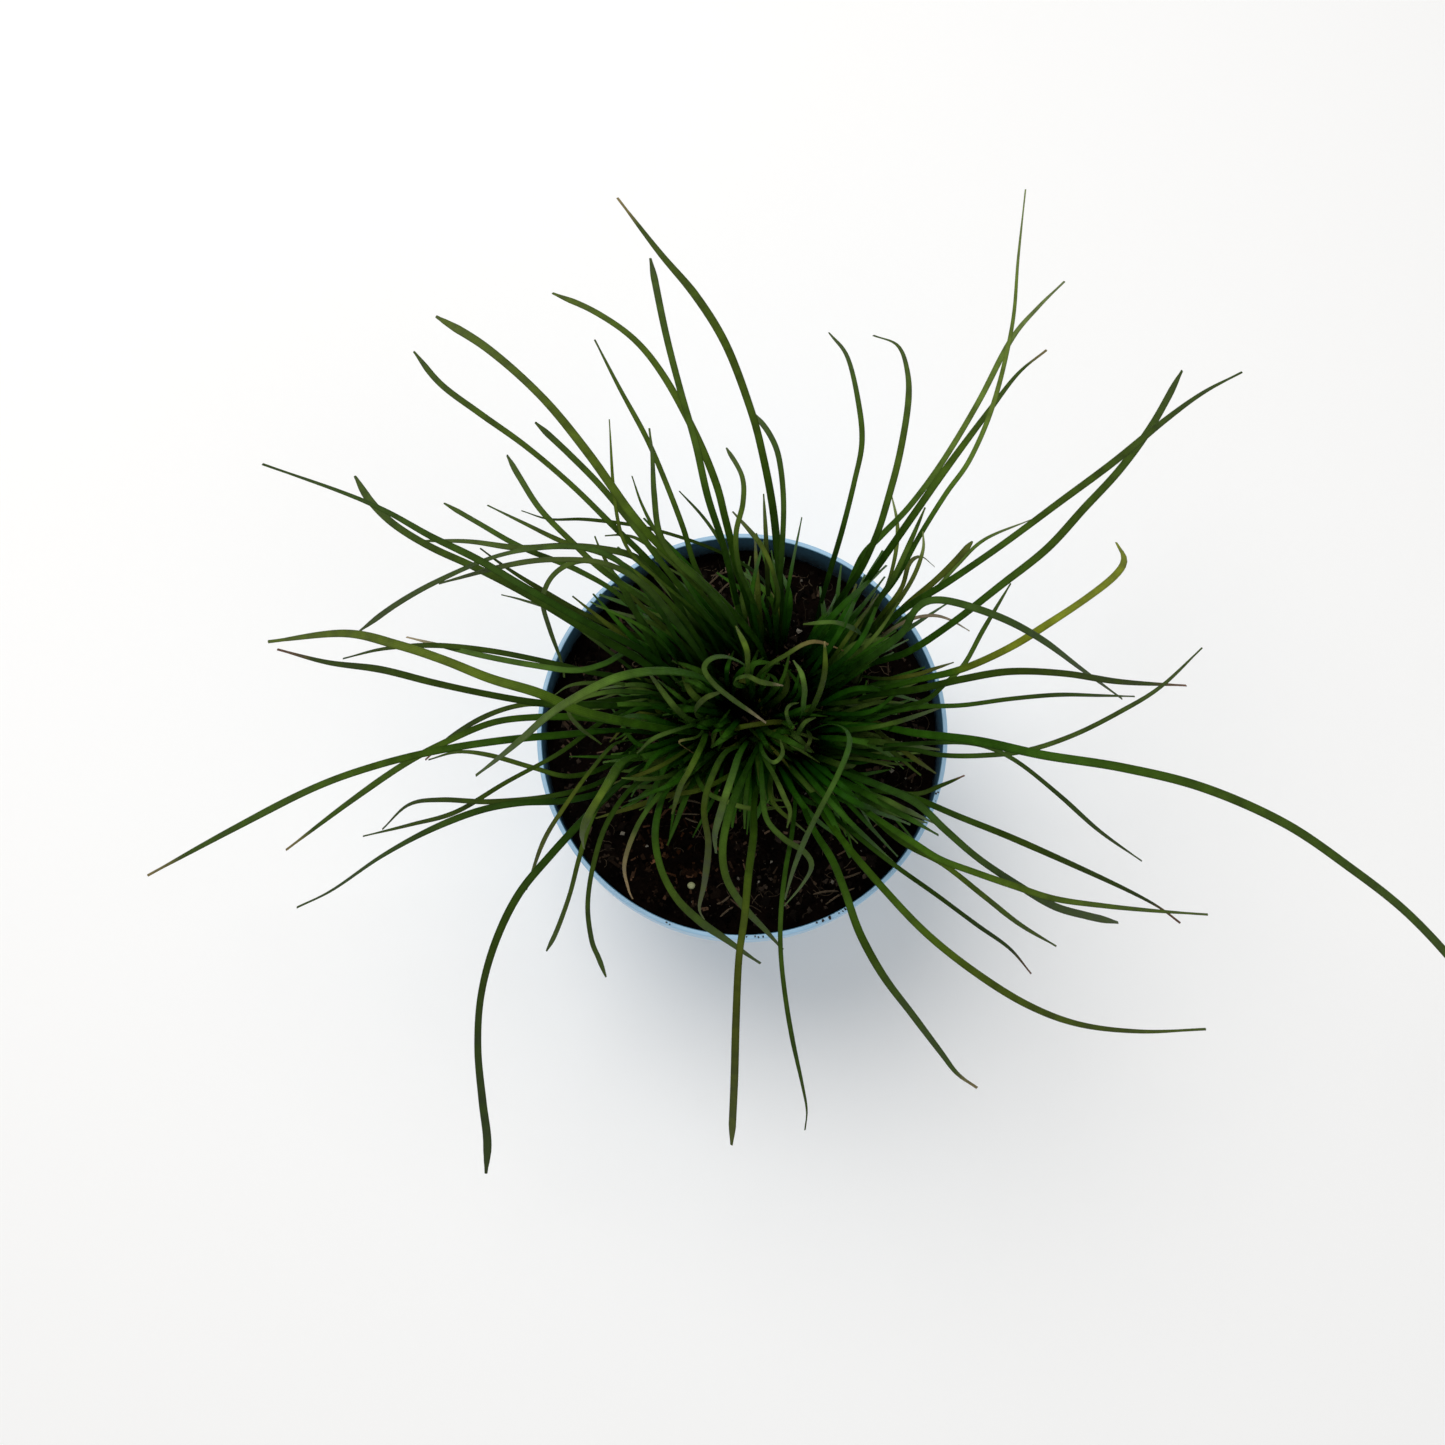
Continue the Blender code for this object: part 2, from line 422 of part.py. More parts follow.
def add_object(name, data, group, coat):
    thing = bpy.data.objects.new(name, data)
    group.objects.link(thing)
    data.materials.append(coat)
    return thing


def shade_round(mesh):
    """Smooth shading, with the edges that are really corners left sharp."""
    mesh.shade_smooth()
    mesh.set_sharp_from_angle(angle=SHARP_ANGLE)


def soil_level(x, y):
    """Height of the soil in mm above the floor, a little uneven and lower towards +Y."""
    base = POT_HEIGHT - SOIL_DEPTH_BELOW_RIM
    waves = 0.8 * math.sin(0.11 * x + 1.3) + 0.7 * math.sin(0.13 * y - 0.4)
    return base + waves - 0.02 * y


def true_size(height):
    """The size of a thing at a height, as a share of what it looks on the plane of the rim."""
    return (EYE[2] + POT_HEIGHT - height) / EYE[2]


def sight_point(seen, height):
    """The point at a height, in mm, that the eye sees at a point on the plane of the rim."""
    x = EYE[0] + (seen[0] - EYE[0]) * true_size(height)
    y = EYE[1] + (seen[1] - EYE[1]) * true_size(height)
    return (x, y, height)


def smooth_route(points, count):
    """Evenly spaced points along a smooth line through the given ones."""
    pts = np.array(points, dtype=float)
    if len(pts) == 2:
        pts = np.array((pts[0], (pts[0] + pts[1]) / 2, pts[1]))
    ends = np.vstack((2 * pts[0] - pts[1], pts, 2 * pts[-1] - pts[-2]))
    fine = []
    for i in range(1, len(ends) - 2):
        before, here, there, after = ends[i - 1:i + 3]
        for t in np.linspace(0, 1, 12, endpoint=False):
            slope_in = (there - before) / 2
            slope_out = (after - here) / 2
            fine.append((2 * t ** 3 - 3 * t ** 2 + 1) * here + (t ** 3 - 2 * t ** 2 + t) * slope_in
                        + (3 * t ** 2 - 2 * t ** 3) * there + (t ** 3 - t ** 2) * slope_out)
    fine.append(pts[-1])
    fine = np.array(fine)
    run = np.concatenate(([0.0], np.cumsum(np.linalg.norm(np.diff(fine, axis=0), axis=1))))
    along = np.linspace(0, run[-1], count)
    return np.column_stack([np.interp(along, run, fine[:, k]) for k in range(2)])


def rise(share, crest, tip):
    """Height above the root at a share of the route: up to the crest, then down to the tip."""
    tip = min(tip, crest)
    lift = crest + math.sqrt(crest * crest - crest * tip)
    s = share ** RISE_POWER
    return 2 * s * (1 - s) * lift + s * s * tip


def route_length(points):
    return sum(math.dist(a, b) for a, b in zip(points, points[1:]))


def point_count(leaf):
    reach = route_length(leaf.route) + 0.6 * leaf.crest
    return max(FEWEST_POINTS, min(MOST_POINTS, round(reach / POINT_SPACING)))


def leaf_line(leaf, count):
    """Points in mm along the middle of a leaf, from its root on the soil."""
    share = np.linspace(0, 1, count) ** 1.15
    root_level = POT_HEIGHT - SOIL_DEPTH_BELOW_RIM
    root = sight_point(leaf.route[0], root_level)
    start = soil_level(root[0], root[1]) + LEAF_START
    seen = smooth_route(leaf.route, ROUTE_SAMPLES)
    places = np.round(share * (ROUTE_SAMPLES - 1)).astype(int)
    line = []
    for part, place in zip(share, places):
        line.append(sight_point(seen[place], start + rise(part, leaf.crest, leaf.tip)))
    return share, np.array(line)


def taper(share, point_share):
    """Width at a share of the leaf: narrow at the root, full in the middle, pointed at the tip."""
    root = ROOT_WIDTH + (1.0 - ROOT_WIDTH) * min(1.0, share / ROOT_SHARE)
    point = min(1.0, (1.0 - share) / point_share)
    return root * max(POINT_WIDTH, point ** POINT_POWER)


def width_at(leaf, share, height):
    """Real width in mm of a leaf at a share of its length and a height above the floor."""
    return leaf.width * taper(share, leaf.point) * true_size(height)


def facings(line):
    """The way and the side of a leaf at each of its points: level where it can be, never turned over."""
    legs = np.diff(line, axis=0)
    legs /= np.linalg.norm(legs, axis=1)[:, None]
    ways = np.vstack((legs[:1], legs[:-1] + legs[1:], legs[-1:]))
    ways /= np.linalg.norm(ways, axis=1)[:, None]
    levels = np.column_stack((ways[:, 1], -ways[:, 0], np.zeros(len(ways))))
    slopes = np.linalg.norm(levels, axis=1)
    start = int(np.argmax(slopes))
    sides = np.zeros_like(ways)
    sides[start] = levels[start] / slopes[start]
    for order in (range(start + 1, len(ways)), range(start - 1, -1, -1)):
        side = sides[start]
        for i in order:
            side = side - ways[i] * (side @ ways[i])
            side = side + LEVEL_PULL * slopes[i] * levels[i] * np.sign(side @ levels[i])
            side /= np.linalg.norm(side)
            sides[i] = side
    return ways, sides


def tilt(way, side):
    """How far a section is turned about its leaf from the level one, in radians."""
    level = np.array((way[1], -way[0], 0.0))
    return math.atan2(side @ np.cross(way, level), side @ level)


def envelope(leaf, share, line):
    """A closed tube around a leaf, wider than it by the clearance on every side."""
    verts = []
    ways, sides = facings(line)
    for part, point, way, side in zip(share, line, ways, sides):
        up = np.cross(side, way)
        width = width_at(leaf, part, point[2])
        half = width / 2 + LEAF_CLEARANCE
        over = KEEL_TOP * width + LEAF_CLEARANCE
        under = KEEL_DEPTH * width + LEAF_CLEARANCE
        for a, b in ((-half, over), (half, over), (half * 0.6, -under), (-half * 0.6, -under)):
            verts.append(Vector(point + side * a + up * b))
    faces = [(0, 1, 2, 3)]
    last = 4 * (len(line) - 1)
    faces.append((last + 3, last + 2, last + 1, last))
    for ring in range(len(line) - 1):
        for k in range(4):
            a = 4 * ring + k
            b = 4 * ring + (k + 1) % 4
            faces.append((a, a + 4, b + 4, b))
    return verts, faces


def choices(leaf):
    """The leaf as wanted, then with its crest, its tip and its root moved ever further."""
    tuft = leaf.node.startswith("tuft")
    reaches = ROOT_STEPS[:1] if tuft else ROOT_STEPS
    tries = TUFT_CREST_TRIES if tuft else CREST_TRIES
    found = []
    for step in range(-tries, tries + 1):
        crest = leaf.crest + step * CREST_STEP
        if crest < LOWEST_CREST:
            continue
        for lift in TIP_STEPS:
            tip = leaf.tip + (crest - leaf.crest) / 2 + lift
            for reach in reaches:
                for turn in range(ROOT_TURNS if reach else 1):
                    angle = math.tau * turn / ROOT_TURNS
                    x, y = leaf.route[0]
                    root = (x + reach * math.cos(angle), y + reach * math.sin(angle))
                    cost = abs(step) * CREST_STEP + abs(lift) * TIP_STEP_COST + reach * ROOT_STEP_COST
                    moved = leaf._replace(route=[root] + leaf.route[1:], crest=crest, tip=tip)
                    found.append((cost, len(found), moved))
    return [moved for cost, order, moved in sorted(found)]


def sheath_foot(leaf):
    """Where a tuft's sheath stands, in mm: its middle and its lowest level."""
    foot = sight_point(leaf.route[0], POT_HEIGHT - SOIL_DEPTH_BELOW_RIM)
    return np.array((foot[0], foot[1], soil_level(foot[0], foot[1]) + LEAF_START - 0.2))


def sheath_envelope(leaf):
    foot = sheath_foot(leaf)
    verts = []
    bottom = (-LEAF_CLEARANCE, SHEATH_RADIUS)
    top = (SHEATH_HEIGHT + LEAF_CLEARANCE, SHEATH_TOP_RADIUS)
    for height, radius in (bottom, top):
        for step in range(SHEATH_SIDES):
            angle = math.tau * step / SHEATH_SIDES
            out = radius + LEAF_CLEARANCE
            verts.append(Vector(foot + (out * math.cos(angle), out * math.sin(angle), height)))
    faces = [tuple(range(SHEATH_SIDES)), tuple(range(SHEATH_SIDES, 2 * SHEATH_SIDES))]
    for step in range(SHEATH_SIDES):
        after = (step + 1) % SHEATH_SIDES
        faces.append((step, after, SHEATH_SIDES + after, SHEATH_SIDES + step))
    return verts, faces


def settle(leaves):
    """Moves each leaf's crest and root as little as clears it of the leaves and sheaths of other nodes."""
    placed = []
    for node in sorted({leaf.node for leaf in leaves if leaf.node.startswith("tuft")}):
        first = next(leaf for leaf in leaves if leaf.node == node)
        verts, faces = sheath_envelope(first)
        sizes = np.array(verts)
        placed.append((node, BVHTree.FromPolygons(verts, faces), sizes.min(axis=0), sizes.max(axis=0)))
    settled = []
    for leaf in leaves:
        best = None
        for moved in choices(leaf):
            share, line = leaf_line(moved, point_count(moved))
            verts, faces = envelope(moved, share, line)
            tree = BVHTree.FromPolygons(verts, faces)
            low = np.min(line, axis=0) - 4
            high = np.max(line, axis=0) + 4
            hits = 0
            for node, other, other_low, other_high in placed:
                apart = np.any(low > other_high) or np.any(high < other_low)
                if node != leaf.node and not apart:
                    hits += bool(tree.overlap(other))
            if best is None or hits < best[0]:
                best = (hits, moved, tree, low, high)
            if hits == 0:
                break
        placed.append((leaf.node, best[2], best[3], best[4]))
        settled.append(best[1])
        if best[0]:
            print("still touching", leaf.node, leaf.route[-1], best[0])
    return settled


def blade_profile(group):
    """The cross-section of a leaf one unit wide: flat above, with a low keel below."""
    data = bpy.data.curves.new("blade_profile", "CURVE")
    data.dimensions = "2D"
    spline = data.splines.new("POLY")
    spline.points.add(2)
    for point, (x, y) in zip(spline.points, ((-0.5, KEEL_TOP), (0.0, -KEEL_DEPTH), (0.5, KEEL_TOP))):
        point.co = (x, y, 0.0, 1.0)
    spline.use_cyclic_u = True
    profile = bpy.data.objects.new("blade_profile", data)
    profile.hide_render = True
    profile.display_type = "WIRE"
    group.objects.link(profile)
    return profile


def blade(name, leaf, profile, group):
    """One leaf as a closed mesh, swept along its line."""
    data = bpy.data.curves.new(name, "CURVE")
    data.dimensions = "3D"
    data.twist_mode = "Z_UP"
    data.bevel_mode = "OBJECT"
    data.bevel_object = profile
    data.use_fill_caps = True
    share, line = leaf_line(leaf, point_count(leaf))
    ways, sides = facings(line)
    spline = data.splines.new("POLY")
    spline.points.add(len(line) - 1)
    for point, part, place, way, side in zip(spline.points, share, line, ways, sides):
        point.co = (*(place * MM), 1.0)
        point.radius = width_at(leaf, part, place[2]) * MM
        point.tilt = tilt(way, side)
    curve = bpy.data.objects.new(name + "_line", data)
    group.objects.link(curve)
    bpy.context.view_layer.update()
    seen = curve.evaluated_get(bpy.context.evaluated_depsgraph_get())
    mesh = bpy.data.meshes.new_from_object(seen)
    bpy.data.objects.remove(curve)
    mesh.name = name
    mesh.materials.clear()
    work = bmesh.new()
    work.from_mesh(mesh)
    bmesh.ops.remove_doubles(work, verts=work.verts, dist=1e-6)
    bmesh.ops.recalc_face_normals(work, faces=work.faces)
    if work.calc_volume(signed=True) < 0:
        bmesh.ops.reverse_faces(work, faces=work.faces)
    work.to_mesh(mesh)
    work.free()
    shade_round(mesh)
    return mesh


def sheath(leaf, group, coat):
    """The short pale stalk that the leaves of a tuft grow out of."""
    foot = sheath_foot(leaf)
    mesh = bpy.data.meshes.new(leaf.node)
    work = bmesh.new()
    bmesh.ops.create_cone(work, cap_ends=True, segments=SHEATH_SIDES, radius1=SHEATH_RADIUS * MM,
                          radius2=SHEATH_TOP_RADIUS * MM, depth=SHEATH_HEIGHT * MM)
    work.to_mesh(mesh)
    work.free()
    shade_round(mesh)
    stalk = add_object(leaf.node, mesh, group, coat)
    stalk.location = (foot[0] * MM, foot[1] * MM, (foot[2] + SHEATH_HEIGHT / 2) * MM)
    return stalk


def add_leaves(group, cutters):
    """The single leaves, and the tufts of leaves joined at their sheaths."""
    profile = blade_profile(cutters)
    tufts = {}
    for index, leaf in enumerate(settle(LEAVES)):
        coat = material("leaf_" + leaf.tone, TONES[leaf.tone], 0.5)
        if leaf.node.startswith("leaf"):
            add_object(leaf.node, blade(leaf.node, leaf, profile, cutters), group, coat)
            continue
        if leaf.node not in tufts:
            tufts[leaf.node] = sheath(leaf, group, coat)
        name = f"{leaf.node}_blade_{index:03d}"
        part = add_object(name, blade(name, leaf, profile, cutters), cutters, coat)
        part.hide_render = True
        part.display_type = "WIRE"
        join = tufts[leaf.node].modifiers.new(name, "BOOLEAN")
        join.operation = "UNION"
        join.solver = "EXACT"
        join.object = part


def pot_profile():
    """The pot's section: from the floor's middle up the inside, over the rim, down and under the base."""
    inner_base = BASE_RADIUS - WALL
    inner_rim = RIM_RADIUS - WALL
    foot_inside = BASE_RADIUS - FOOT_WIDTH
    return [
        (0.0, FLOOR_TOP),
        (inner_base - EDGE_BEVEL, FLOOR_TOP),
        (inner_base, FLOOR_TOP + FLOOR_CORNER),
        (BODY_TOP_RADIUS - WALL, WALL_STEP_BOTTOM),
        (inner_rim, WALL_STEP_TOP),
        (inner_rim, POT_HEIGHT - EDGE_ROUND),
        (inner_rim + EDGE_ROUND, POT_HEIGHT),
        (RIM_RADIUS - EDGE_ROUND, POT_HEIGHT),
        (RIM_RADIUS, POT_HEIGHT - EDGE_ROUND),
        (RIM_RADIUS, BAND_BOTTOM),
        (RIM_RADIUS - EDGE_BEVEL, BAND_BOTTOM - EDGE_BEVEL),
        (BODY_TOP_RADIUS, BAND_BOTTOM - BAND_STEP),
        (BASE_RADIUS, EDGE_BEVEL),
        (BASE_RADIUS - EDGE_BEVEL, 0.0),
        (foot_inside, 0.0),
        (foot_inside - EDGE_BEVEL, ARCH_HEIGHT),
        (PAD_RADIUS + EDGE_BEVEL, ARCH_HEIGHT),
        (PAD_RADIUS, 0.0),
        (0.0, 0.0),
    ]


def turned(name, outline, steps, group, coat):
    """A closed turned solid from a section that starts and ends on the axis."""
    mesh = bpy.data.meshes.new(name)
    work = bmesh.new()
    verts = [work.verts.new((radius * MM, 0.0, height * MM)) for radius, height in outline]
    edges = [work.edges.new(pair) for pair in zip(verts, verts[1:])]
    bmesh.ops.spin(work, geom=verts + edges, cent=(0, 0, 0), axis=(0, 0, 1), angle=math.tau, steps=steps)
    bmesh.ops.remove_doubles(work, verts=work.verts, dist=0.00001)
    bmesh.ops.recalc_face_normals(work, faces=work.faces)
    work.to_mesh(mesh)
    work.free()
    shade_round(mesh)
    return add_object(name, mesh, group, coat)


def add_pot(group, cutters):
    plastic = material("pot_plastic", POT_TONE, 0.42)
    pot = turned("pot", pot_profile(), POT_STEPS, group, plastic)
    for index in range(HOLE_COUNT):
        angle = math.tau * (index + 0.5) / HOLE_COUNT
        mesh = bpy.data.meshes.new("drain")
        work = bmesh.new()
        bmesh.ops.create_cone(work, cap_ends=True, segments=HOLE_SIDES, radius1=HOLE_RADIUS * MM,
                              radius2=HOLE_RADIUS * MM, depth=DRILL_DEPTH * MM)
        work.to_mesh(mesh)
        work.free()
        drain = bpy.data.objects.new(f"drain_{index + 1}", mesh)
        drain.location = (HOLE_RING_RADIUS * MM * math.cos(angle), HOLE_RING_RADIUS * MM * math.sin(angle),
                          FLOOR_TOP / 2 * MM)
        drain.hide_render = True
        drain.display_type = "WIRE"
        cutters.objects.link(drain)
        cut = pot.modifiers.new(drain.name, "BOOLEAN")
        cut.operation = "DIFFERENCE"
        cut.solver = "EXACT"
        cut.object = drain
    return pot


def soil_side():
    """The soil's side, a gap inside the pot's wall, from its shoulder down: radius and height."""
    inset = WALL + 2 * GAP
    return [
        (RIM_RADIUS - inset, WALL_STEP_TOP + 3 * GAP),
        (BODY_TOP_RADIUS - inset, WALL_STEP_BOTTOM),
        (BASE_RADIUS - inset, FLOOR_TOP + FLOOR_CORNER + GAP),
    ]


def add_soil(group):
    """The soil: a tapered plug whose top rings follow the uneven surface."""
    earth = material("soil", SOIL_TONE, 0.95)
    work = bmesh.new()
    side = soil_side()
    top_rings = []
    for ring in range(1, SOIL_RING_COUNT + 1):
        radius = side[0][0] * ring / SOIL_RING_COUNT
        drop = SOIL_EDGE_DROP if ring == SOIL_RING_COUNT else 0.0
        top_rings.append((radius, drop))
    angles = [math.tau * step / SOIL_STEPS for step in range(SOIL_STEPS)]
    centre = work.verts.new((0, 0, soil_level(0, 0) * MM))
    rows = []
    for radius, drop in top_rings:
        row = []
        for angle in angles:
            x = radius * math.cos(angle)
            y = radius * math.sin(angle)
            row.append(work.verts.new((x * MM, y * MM, (soil_level(x, y) - drop) * MM)))
        rows.append(row)
    for radius, height in side:
        ring = [(radius * math.cos(angle), radius * math.sin(angle), height) for angle in angles]
        rows.append([work.verts.new(Vector(place) * MM) for place in ring])
    for step in range(SOIL_STEPS):
        after = (step + 1) % SOIL_STEPS
        work.faces.new((centre, rows[0][step], rows[0][after]))
        for inner, outer in zip(rows, rows[1:]):
            work.faces.new((inner[step], outer[step], outer[after], inner[after]))
    work.faces.new(reversed(rows[-1]))
    bmesh.ops.recalc_face_normals(work, faces=work.faces)
    mesh = bpy.data.meshes.new("soil")
    work.to_mesh(mesh)
    work.free()
    return add_object("soil", mesh, group, earth)


def main():
    clear_scene()
    group = new_collection(NAME)
    cutters = new_collection("cutters")
    add_pot(group, cutters)
    add_soil(group)
    add_leaves(group, cutters)


main()
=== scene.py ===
"""Garlic chives in a round plastic pot: the dressed scene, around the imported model."""
import math
from collections import namedtuple

import bmesh
import bpy
import numpy as np
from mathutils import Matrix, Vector
from mathutils import noise
from mathutils.bvhtree import BVHTree


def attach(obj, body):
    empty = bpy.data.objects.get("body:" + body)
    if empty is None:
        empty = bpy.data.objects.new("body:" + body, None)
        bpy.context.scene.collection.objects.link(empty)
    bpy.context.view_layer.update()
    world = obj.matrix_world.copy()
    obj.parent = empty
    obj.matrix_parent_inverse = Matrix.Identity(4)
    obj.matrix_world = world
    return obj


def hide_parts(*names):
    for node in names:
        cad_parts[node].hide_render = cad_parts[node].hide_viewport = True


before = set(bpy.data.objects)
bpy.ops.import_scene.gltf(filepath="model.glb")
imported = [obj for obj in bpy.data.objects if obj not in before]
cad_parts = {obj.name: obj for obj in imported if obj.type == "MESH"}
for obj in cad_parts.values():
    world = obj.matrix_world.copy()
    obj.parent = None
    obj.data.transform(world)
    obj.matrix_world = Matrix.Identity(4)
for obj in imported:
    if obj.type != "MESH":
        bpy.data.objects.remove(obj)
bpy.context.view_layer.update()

MM = 0.001
SEED = 41

# Pot, in mm
POT_HEIGHT = 112.0
RIM_RADIUS = 65.0
BAND_DEPTH = 19.0
BAND_BOTTOM = POT_HEIGHT - BAND_DEPTH
BAND_STEP = 0.9
WALL = 1.6
WALL_STEP_TOP = BAND_BOTTOM + 1.4
WALL_STEP_BOTTOM = BAND_BOTTOM - 0.8
EDGE_ROUND = 0.5
EDGE_BEVEL = 0.6
BODY_TOP_RADIUS = 62.6
BASE_RADIUS = 46.0
FLOOR_TOP = 3.2
FLOOR_CORNER = 1.0
ARCH_HEIGHT = 1.4
FOOT_WIDTH = 2.4
PAD_RADIUS = 19.5
POT_STEPS = 192
HOLE_COUNT = 6
HOLE_RADIUS = 4.0
HOLE_RING_RADIUS = 32.0
HOLE_SIDES = 40
DRILL_DEPTH = 12.0

# Soil, in mm
SOIL_DEPTH_BELOW_RIM = 14.0
SOIL_STEPS = 360
SOIL_RINGS = 110
SOIL_EDGE_DROP = 0.9
# The soil's dark brown, made near black so the gaps between crumbs show as painted shade
SOIL_AND_GAP_SHADE_TONES = ((0.0008, 0.0007, 0.0006), (0.0060, 0.0032, 0.0022))
GRIT_TONE = (0.030, 0.019, 0.012)
GAP = 0.3

# The eye that the leaf routes are seen from, in mm from the middle of the rim
EYE = np.array((-6.263, -93.647, 612.896))
EYE_TILT = math.radians(9.0)
LENS_MM = 48.83
SENSOR_MM = 36.0

# Leaves, in mm
LEAF_START = 0.7
LEAF_CLEARANCE = 0.35
POINT_SPACING = 12.0
ROUTE_SAMPLES = 400
FEWEST_POINTS = 6
MOST_POINTS = 16
KEEL_TOP = 0.09
KEEL_DEPTH = 0.2
RISE_POWER = 0.72
LEVEL_PULL = 1.0
CREST_STEP = 4.0
CREST_TRIES = 12
TUFT_CREST_TRIES = 24
LOWEST_CREST = 36.0
TIP_STEPS = (0.0, 12.0, -12.0, 24.0, -24.0)
TIP_STEP_COST = 0.8
ROOT_STEPS = (0.0, 2.0, 3.5)
ROOT_TURNS = 8
ROOT_STEP_COST = 7.0
SHEATH_HEIGHT = 11.0
SHEATH_RADIUS = 2.7
SHEATH_TOP_RADIUS = 1.5
SHEATH_SIDES = 8
ROOT_WIDTH = 0.62
ROOT_SHARE = 0.2
POINT_WIDTH = 0.35
POINT_POWER = 0.5
# The share of its length over which a leaf comes to its point: blunt, middling or long
BLUNT = 0.05
EVEN = 0.25
LONG = 0.45

# How finely a leaf is drawn, and how much it twists and varies
RING_SPACING = 2.6
SHORT_RING_SPACING = 3.2
FEWEST_RINGS = 26
MOST_RINGS = 110
ROOT_BURIED = 2.2
TWIST = 0.45
WIDTH_VARIATION = 0.07
# The section across a leaf, as shares of its width: two ridges above, a keel below
SECTION = ((-0.5, 0.045), (-0.4, 0.085), (-0.18, 0.06), (0.0, 0.045), (0.18, 0.06), (0.4, 0.085),
           (0.5, 0.045), (0.4, -0.03), (0.2, -0.11), (0.0, -0.165), (-0.2, -0.11), (-0.4, -0.03))

# Leaf tones: the body's colour, the tip's colour, and the shares of the leaf at which the tip's colour
# starts and is full
Tone = namedtuple("Tone", "body tip start full", defaults=(1.0,))
TONES = {
    "green": Tone((0.040, 0.071, 0.0080), (0.046, 0.076, 0.0110), 0.85),
    "dark": Tone((0.027, 0.051, 0.0062), (0.033, 0.056, 0.0095), 0.85),
    "bright": Tone((0.058, 0.092, 0.0095), (0.068, 0.098, 0.0140), 0.85),
    "spring": Tone((0.095, 0.145, 0.0240), (0.140, 0.180, 0.0600), 0.80),
    "yellow": Tone((0.046, 0.080, 0.0060), (0.150, 0.180, 0.0130), 0.34, 0.55),
    "pale": Tone((0.054, 0.096, 0.0150), (0.062, 0.104, 0.0180), 0.80),
    "grey": Tone((0.041, 0.068, 0.0125), (0.052, 0.078, 0.0190), 0.75),
    "olive": Tone((0.055, 0.075, 0.0085), (0.064, 0.082, 0.0130), 0.80),
    "green_tan": Tone((0.038, 0.067, 0.0060), (0.210, 0.165, 0.0650), 0.93),
    "pale_tan": Tone((0.050, 0.090, 0.0140), (0.360, 0.290, 0.1800), 0.84),
    "tan_end": Tone((0.055, 0.090, 0.0140), (0.300, 0.200, 0.0900), 0.55),
    "dark_brown": Tone((0.029, 0.052, 0.0050), (0.140, 0.070, 0.0450), 0.91),
    "dry": Tone((0.200, 0.170, 0.1000), (0.250, 0.210, 0.1400), 0.60),
    # The darker green of the short leaves below the others: painted shade
    "under": Tone((0.014, 0.060, 0.0020), (0.027, 0.078, 0.0050), 0.60),
    "fresh": Tone((0.029, 0.082, 0.0060), (0.044, 0.096, 0.0120), 0.80),
}
# How strongly a leaf shines, and how far its vein pattern turns across its width, in radians
LEAF_SHINE = 0.035
VEIN_TURNS = 34.0
# Painted shade: how a leaf's colour darkens towards its root, where the leaves shade it: how much of each
# colour is left there, the share at which it is full, and the curve between
ROOT_SHADE = (0.22, 0.66, 0.10)
SHADE_SHARE = 0.55
SHADE_POWER = 1.3
# How much leaves vary in brightness and in warmth, and the curve and the cap of their tips
LEAF_BRIGHTNESS = (0.84, 1.16)
LEAF_WARMTH = (0.90, 1.12)
TIP_BRIGHTNESS = (0.9, 1.1)
TIP_POWER = 0.7
TIP_CAP = 0.5

# The material slot of each tone
SLOTS = {
    "green": "leaf_green",
    "dark": "leaf_dark_green",
    "bright": "leaf_yellow_green",
    "pale": "leaf_pale_green",
    "grey": "leaf_grey_green",
    "olive": "leaf_olive",
    "green_tan": "leaf_green_tan_tip",
    "pale_tan": "leaf_pale_tan_tip",
    "tan_end": "leaf_tan_end",
    "dark_brown": "leaf_dark_brown_tip",
    "spring": "leaf_light_green",
    "yellow": "leaf_yellow",
    "dry": "leaf_dry",
}

Leaf = namedtuple("Leaf", "node width crest tip tone route point", defaults=(EVEN,))


def tuft(node, root, *blades):
    """The leaves of a tuft, which all start at one root."""
    return [Leaf(node, *blade[:4], [root] + blade[4], *blade[5:]) for blade in blades]


